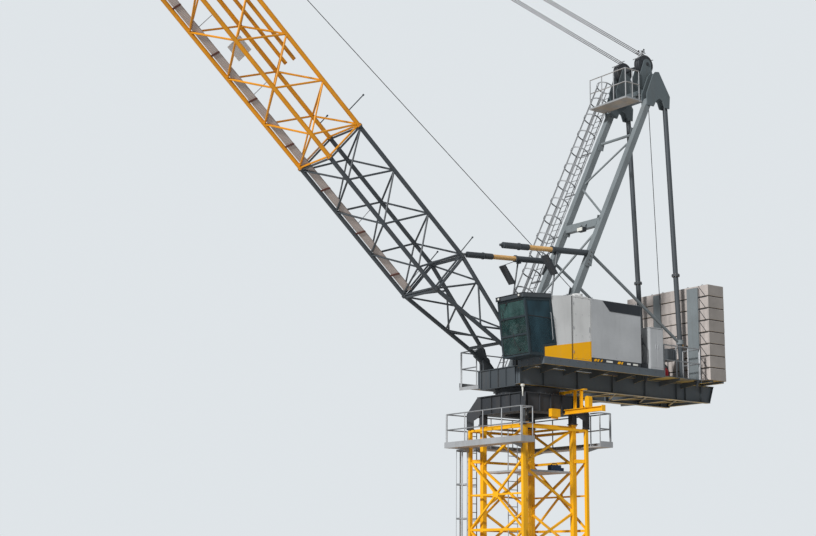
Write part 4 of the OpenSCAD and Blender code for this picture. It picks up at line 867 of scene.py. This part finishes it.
class CRANE_OT_frame_fittings(bpy.types.Operator):
    """Adds gussets, bolts, a floodlight and panels to the A-frame and its backstops"""
    bl_idname = "crane.frame_fittings"
    bl_label = "A-frame fittings"

    def execute(self, context):
        plates, bolts = Shape(), Shape()
        for side in (-1, 1):
            y = side * HALF_FRAME
            for z in (3.30, CROSS_BEAM_Z, 9.55):
                x = LEG_LEAN * (z - LEG_FOOT_Z)
                plates.prism([(x - 0.20, z - 0.26), (x + 0.06, z - 0.26), (x + 0.20, z + 0.26), (x - 0.06, z + 0.26)],
                             "y", y - side * 0.162, y - side * 0.150)
            z = 4.34
            x = LEG_LEAN * (z - LEG_FOOT_Z)
            plates.prism([(x - 0.17, z), (x + 0.17, z), (x + 0.30, z + 0.60), (x + 0.10, z + 0.60)], "y",
                         y + side * 0.136, y + side * 0.146)
            for k in range(4):
                bolts.bolt((x + 0.02 + 0.05 * k, y + side * 0.146, z + 0.08 + 0.14 * k), (0, side, 0), 0.036)
        plates.piece("Leg_gussets", "leg_grey")
        bolts.piece("Leg_bolts", "bare_bolts")
        lamp = Shape()
        x = LEG_LEAN * (CROSS_BEAM_Z - LEG_FOOT_Z)
        lamp.box((x - 0.34, -0.32, 5.78), (x - 0.14, -0.02, 5.94), 0.02)
        for y in (-0.30, -0.04):
            lamp.chain([(x - 0.24, y, 5.90), (x - 0.12, y, CROSS_BEAM_Z)], 0.014)
        lamp.piece("Floodlight", "dark_steel")
        glass = Shape()
        glass.box((x - 0.346, -0.30, 5.80), (x - 0.338, -0.04, 5.92), 0.002)
        glass.piece("Floodlight_glass", "lamp_glass")
        flanges = Shape()
        for side in (-1, 1):
            start = Vector((STRUT_FOOT[0], side * HALF_FRAME, STRUT_FOOT[1]))
            along = (Vector((STRUT_TOP[0], side * HALF_FRAME, STRUT_TOP[1])) - start).normalized()
            middle = start + along * (STRUT_FLANGE_Z - STRUT_FOOT[1]) / along.z
            across = Vector((0, 1, 0))
            out = along.cross(across)
            for a in circle(8):
                place = middle + (across * math.cos(a) + out * math.sin(a)) * (STRUT_RADIUS + 0.028)
                flanges.bolt(place - along * 0.032, -along, 0.034)
                flanges.bolt(place + along * 0.032, along, 0.034)
        flanges.piece("Strut_flange_bolts", "bare_bolts")
        panels = Shape()
        for side in (-1, 1):
            panels.prism([(-0.20, 4.42), (-0.14, 4.46), (0.31, 3.87), (0.25, 3.83)], "y", side * 1.10 - 0.15,
                         side * 1.10 + 0.15)
            panels.chain([(-0.17, side * 1.10, 4.435), (0.34, side * 1.04, 4.65)], 0.012)
        panels.piece("Backstop_panels", "dark_steel")
        return {"FINISHED"}


class CRANE_OT_head_fittings(bpy.types.Operator):
    """Adds rope guards, the sheaves' holes and wind cups at the head"""
    bl_idname = "crane.head_fittings"
    bl_label = "Head fittings"

    def execute(self, context):
        guards, holes = Shape(), Shape()
        axle_x, axle_z = HEAD_AXLE
        for side in (-1, 1):
            for angle in (35, 95, 155):
                a = math.radians(angle)
                x, z = axle_x + 0.425 * math.cos(a), axle_z + 0.425 * math.sin(a)
                guards.tube((x, side * 0.40, z), (x, side * 0.70, z), 0.016)
            for y in SHEAVE_PLANES:
                for a in circle(8):
                    holes.ring((axle_x + 0.20 * math.cos(a), side * y, axle_z + 0.20 * math.sin(a)), "y", 0.030, 0.052,
                               0.086, 12)
        guards.piece("Rope_guards", "galvanised")
        holes.piece("Sheave_holes", "slate_paint")
        cups = Shape()
        hub_x = 5.76
        cups.lathe((hub_x, 0, 13.11), (hub_x, 0, 13.27), [(0, 0.02), (0.6, 0.02), (0.7, 0.03), (1, 0.03)], 10)
        for k in range(3):
            a = math.radians(120 * k + 20)
            x, y, z = end = (hub_x + 0.13 * math.cos(a), 0.13 * math.sin(a), 13.26)
            dx, dy = 0.03 * math.sin(a), 0.03 * math.cos(a)
            cups.chain([(hub_x, 0, 13.26), end], 0.008, 5)
            cups.lathe((x - dx, y + dy, z), (x + dx, y - dy, z), [(0, 0.006), (0.4, 0.03), (1, 0.036)], 10)
        cups.piece("Wind_cups", "rubber")
        return {"FINISHED"}


class CRANE_OT_jib_fittings(bpy.types.Operator):
    """Adds the jib's rope posts, panel, crossbars, hand line and flange bolts"""
    bl_idname = "crane.jib_fittings"
    bl_label = "Jib fittings"

    def execute(self, context):
        posts = Shape(on_jib)
        for along, side, high in ((9.75, -1, 1.70), (9.75, 1, 1.25), (3.85, -1, 1.62), (3.85, 1, 1.30)):
            y = side * 0.80
            posts.tube((along, y, HALF_DEPTH), (along, y, high), 0.018)
            posts.tube((along, y, high - 0.03), (along, y, high + 0.01), 0.03, 10)
        posts.piece("Jib_rope_posts", "slate_paint", "jib")
        panel = Shape(on_jib)
        panel.box((12.95, 0.77, -0.10), (13.52, 0.80, 0.54), 0.01)
        panel.piece("Jib_panel", "pale_panel", "jib")
        bars = Shape(on_jib)
        step, along = 1.81, 4.6
        while along < 22.2:
            bars.box((along - 0.030, 0.26, -0.800), (along + 0.030, 0.80, -0.770), 0.004)
            along += step
        bars.piece("Jib_crossbars", "rusty", "jib")
        lines = Shape(on_jib)
        lines.tube((3.95, 0.75, 0.30), (22.3, 0.75, 0.30), 0.007, 6)
        along = 3.95
        while along < 22.4:
            lines.tube((along, 0.75, -0.78), (along, 0.75, 0.34), 0.012, 6)
            along += 2.65
        lines.piece("Jib_hand_line", "galvanised", "jib")
        bolts = Shape(on_jib)
        for along in JIB_SPLICES:
            for y in (-HALF_JIB, HALF_JIB):
                for z in (-HALF_DEPTH, HALF_DEPTH):
                    for a in circle(6, 0.5):
                        u, v = y + 0.086 * math.cos(a), z + 0.086 * math.sin(a)
                        for s in (-1, 1):
                            bolts.tube((along + s * 0.025, u, v), (along + s * 0.047, u, v), 0.014, 6)
        bolts.piece("Jib_flange_bolts", "bare_bolts", "jib")
        return {"FINISHED"}


class CRANE_OT_tower_fittings(bpy.types.Operator):
    """Adds the mast's collar bolts, the climbing frame's gussets, the tool box and the race's bolts"""
    bl_idname = "crane.tower_fittings"
    bl_label = "Tower fittings"

    def execute(self, context):
        bolts = Shape(on_ground)
        for level in range(1, 4):
            z = FIRST_COLLAR + SECTION * level
            for sx in (-1, 1):
                for sy in (-1, 1):
                    x, y = sx * HALF_MAST, sy * HALF_MAST
                    for k in (-0.045, 0.045):
                        for u, v in ((x + sx * 0.092, y + k), (x + k, y + sy * 0.092)):
                            bolts.tube((u, v, z - 0.075), (u, v, z + 0.075), 0.009, 6)
        bolts.piece("Collar_bolts", "bare_bolts", "tower")
        gussets = Shape(on_ground)
        z0 = SLEW_Z - 1.30 - 1.05
        for axis, side in (("x", -1), ("y", 1), ("x", 1)):
            for panel in (0, 1):
                z = z0 - PANEL * (panel + 0.5)
                gussets.prism([(u, z + v) for u, v in GUSSET], axis, side * 1.395, side * 1.405)
        gussets.piece("Frame_gussets", "climbing_yellow", "tower")
        crate = Shape(on_ground)
        floor, top = PLATFORM_TOP + 0.0005, PLATFORM_TOP + 0.19
        crate.box((0.20, -0.96, floor), (0.62, -0.74, top), 0.01)
        crate.box((0.60, -0.93, floor), (0.76, -0.77, floor + 0.11), 0.01)
        crate.chain([(0.27, -0.85, top - 0.005), (0.32, -0.85, top + 0.05), (0.50, -0.85, top + 0.05),
                     (0.55, -0.85, top - 0.005)], 0.012)
        crate.piece("Tool_box", "tool_blue", "tower")
        ring = Shape()
        for a in circle(40):
            ring.bolt((RING_BOLTS * math.cos(a), RING_BOLTS * math.sin(a), -0.200), (0, 0, 1), 0.034)
        ring.piece("Race_bolts", "bare_bolts", "tower")
        return {"FINISHED"}


class CRANE_OT_stage(bpy.types.Operator):
    """Adds the floor, the lights and the camera"""
    bl_idname = "crane.stage"
    bl_label = "Stage"

    def execute(self, context):
        scene = context.scene
        scene.view_settings.view_transform = "Standard"
        world = scene.world or bpy.data.worlds.new("Studio")
        scene.world = world
        world.use_nodes = True
        tree = world.node_tree
        background = tree.nodes["Background"]
        background.inputs["Color"].default_value = (0.70, 0.76, 0.82, 1.0)
        background.inputs["Strength"].default_value = 0.27
        seen = tree.nodes.new("ShaderNodeBackground")
        seen.inputs["Color"].default_value = (0.74, 0.78, 0.81, 1.0)
        rays = tree.nodes.new("ShaderNodeLightPath")
        either = tree.nodes.new("ShaderNodeMath")
        either.operation = "MAXIMUM"
        tree.links.new(rays.outputs["Is Camera Ray"], either.inputs[0])
        tree.links.new(rays.outputs["Is Transmission Ray"], either.inputs[1])
        choice = tree.nodes.new("ShaderNodeMixShader")
        tree.links.new(either.outputs[0], choice.inputs[0])
        tree.links.new(background.outputs[0], choice.inputs[1])
        tree.links.new(seen.outputs[0], choice.inputs[2])
        tree.links.new(choice.outputs[0], tree.nodes["World Output"].inputs["Surface"])
        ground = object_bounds()[0].z
        corners = [(x * FLOOR_HALF, y * FLOOR_HALF, ground) for x, y in ((-1, -1), (1, -1), (1, 1), (-1, 1))]
        floor = mesh_piece("Floor", corners, [(0, 1, 2, 3)], plain("Floor", (0.62, 0.62, 0.61), 0.9))
        floor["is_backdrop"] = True
        for name, direction, power, angle in (("Key", (-0.84, -0.25, 0.48), 3.4, 8.0),
                                              ("Fill", (0.10, -0.90, 0.30), 0.30, 60.0),
                                              ("Rim", (0.6, 0.7, 0.5), 0.25, 40.0)):
            light = bpy.data.lights.new(name, "SUN")
            light.energy, light.angle = power, math.radians(angle)
            lamp = bpy.data.objects.new(name, light)
            lamp.rotation_mode = "QUATERNION"
            lamp.rotation_quaternion = Vector(direction).to_track_quat("Z", "Y")
            scene.collection.objects.link(lamp)
        heading, pitch, roll = (math.radians(a) for a in (CAMERA_HEADING, CAMERA_PITCH, CAMERA_ROLL))
        forward = Vector((math.sin(heading) * math.cos(pitch), math.cos(heading) * math.cos(pitch), math.sin(pitch)))
        right = forward.cross(Vector((0, 0, 1))).normalized()
        up = right.cross(forward)
        right, up = (right * math.cos(roll) + up * math.sin(roll), up * math.cos(roll) - right * math.sin(roll))
        data = bpy.data.cameras.new("Photo camera")
        data.sensor_width = SENSOR
        data.lens = SENSOR * FOCAL_PIXELS / PHOTO_WIDTH
        data.clip_end = 1000
        camera = bpy.data.objects.new("Photo camera", data)
        turned = Matrix((right, up, -forward)).transposed().to_4x4()
        camera.matrix_world = Matrix.Translation(CAMERA_PLACE) @ turned
        scene.collection.objects.link(camera)
        scene.camera = camera
        return {"FINISHED"}


class CRANE_PT_panel(bpy.types.Panel):
    """Lists the crane's settings and steps"""
    bl_idname = "CRANE_PT_panel"
    bl_label = "Luffing Tower Crane"
    bl_space_type = "VIEW_3D"
    bl_region_type = "UI"
    bl_category = "Crane"

    def draw(self, context):
        for group in (context.scene.crane_colours, context.scene.crane_sizes):
            for name in group.bl_rna.properties.keys():
                if name not in ("rna_type", "name"):
                    self.layout.prop(group, name)
        for step in STEPS:
            self.layout.operator(step.bl_idname)


STEPS = (CRANE_OT_finishes, CRANE_OT_ropes, CRANE_OT_ballast, CRANE_OT_cab, CRANE_OT_housings, CRANE_OT_winches,
         CRANE_OT_deck, CRANE_OT_frame_fittings, CRANE_OT_head_fittings, CRANE_OT_jib_fittings,
         CRANE_OT_tower_fittings, CRANE_OT_stage)
CLASSES = (CraneColours, CraneSizes) + STEPS + (CRANE_PT_panel,)


def register():
    for cls in CLASSES:
        bpy.utils.register_class(cls)
    bpy.types.Scene.crane_colours = bpy.props.PointerProperty(type=CraneColours)
    bpy.types.Scene.crane_sizes = bpy.props.PointerProperty(type=CraneSizes)


def unregister():
    del bpy.types.Scene.crane_sizes
    del bpy.types.Scene.crane_colours
    for cls in reversed(CLASSES):
        bpy.utils.unregister_class(cls)


def main():
    register()
    for step in STEPS:
        group, name = step.bl_idname.split(".")
        getattr(getattr(bpy.ops, group), name)()


if __name__ == "__main__":
    main()
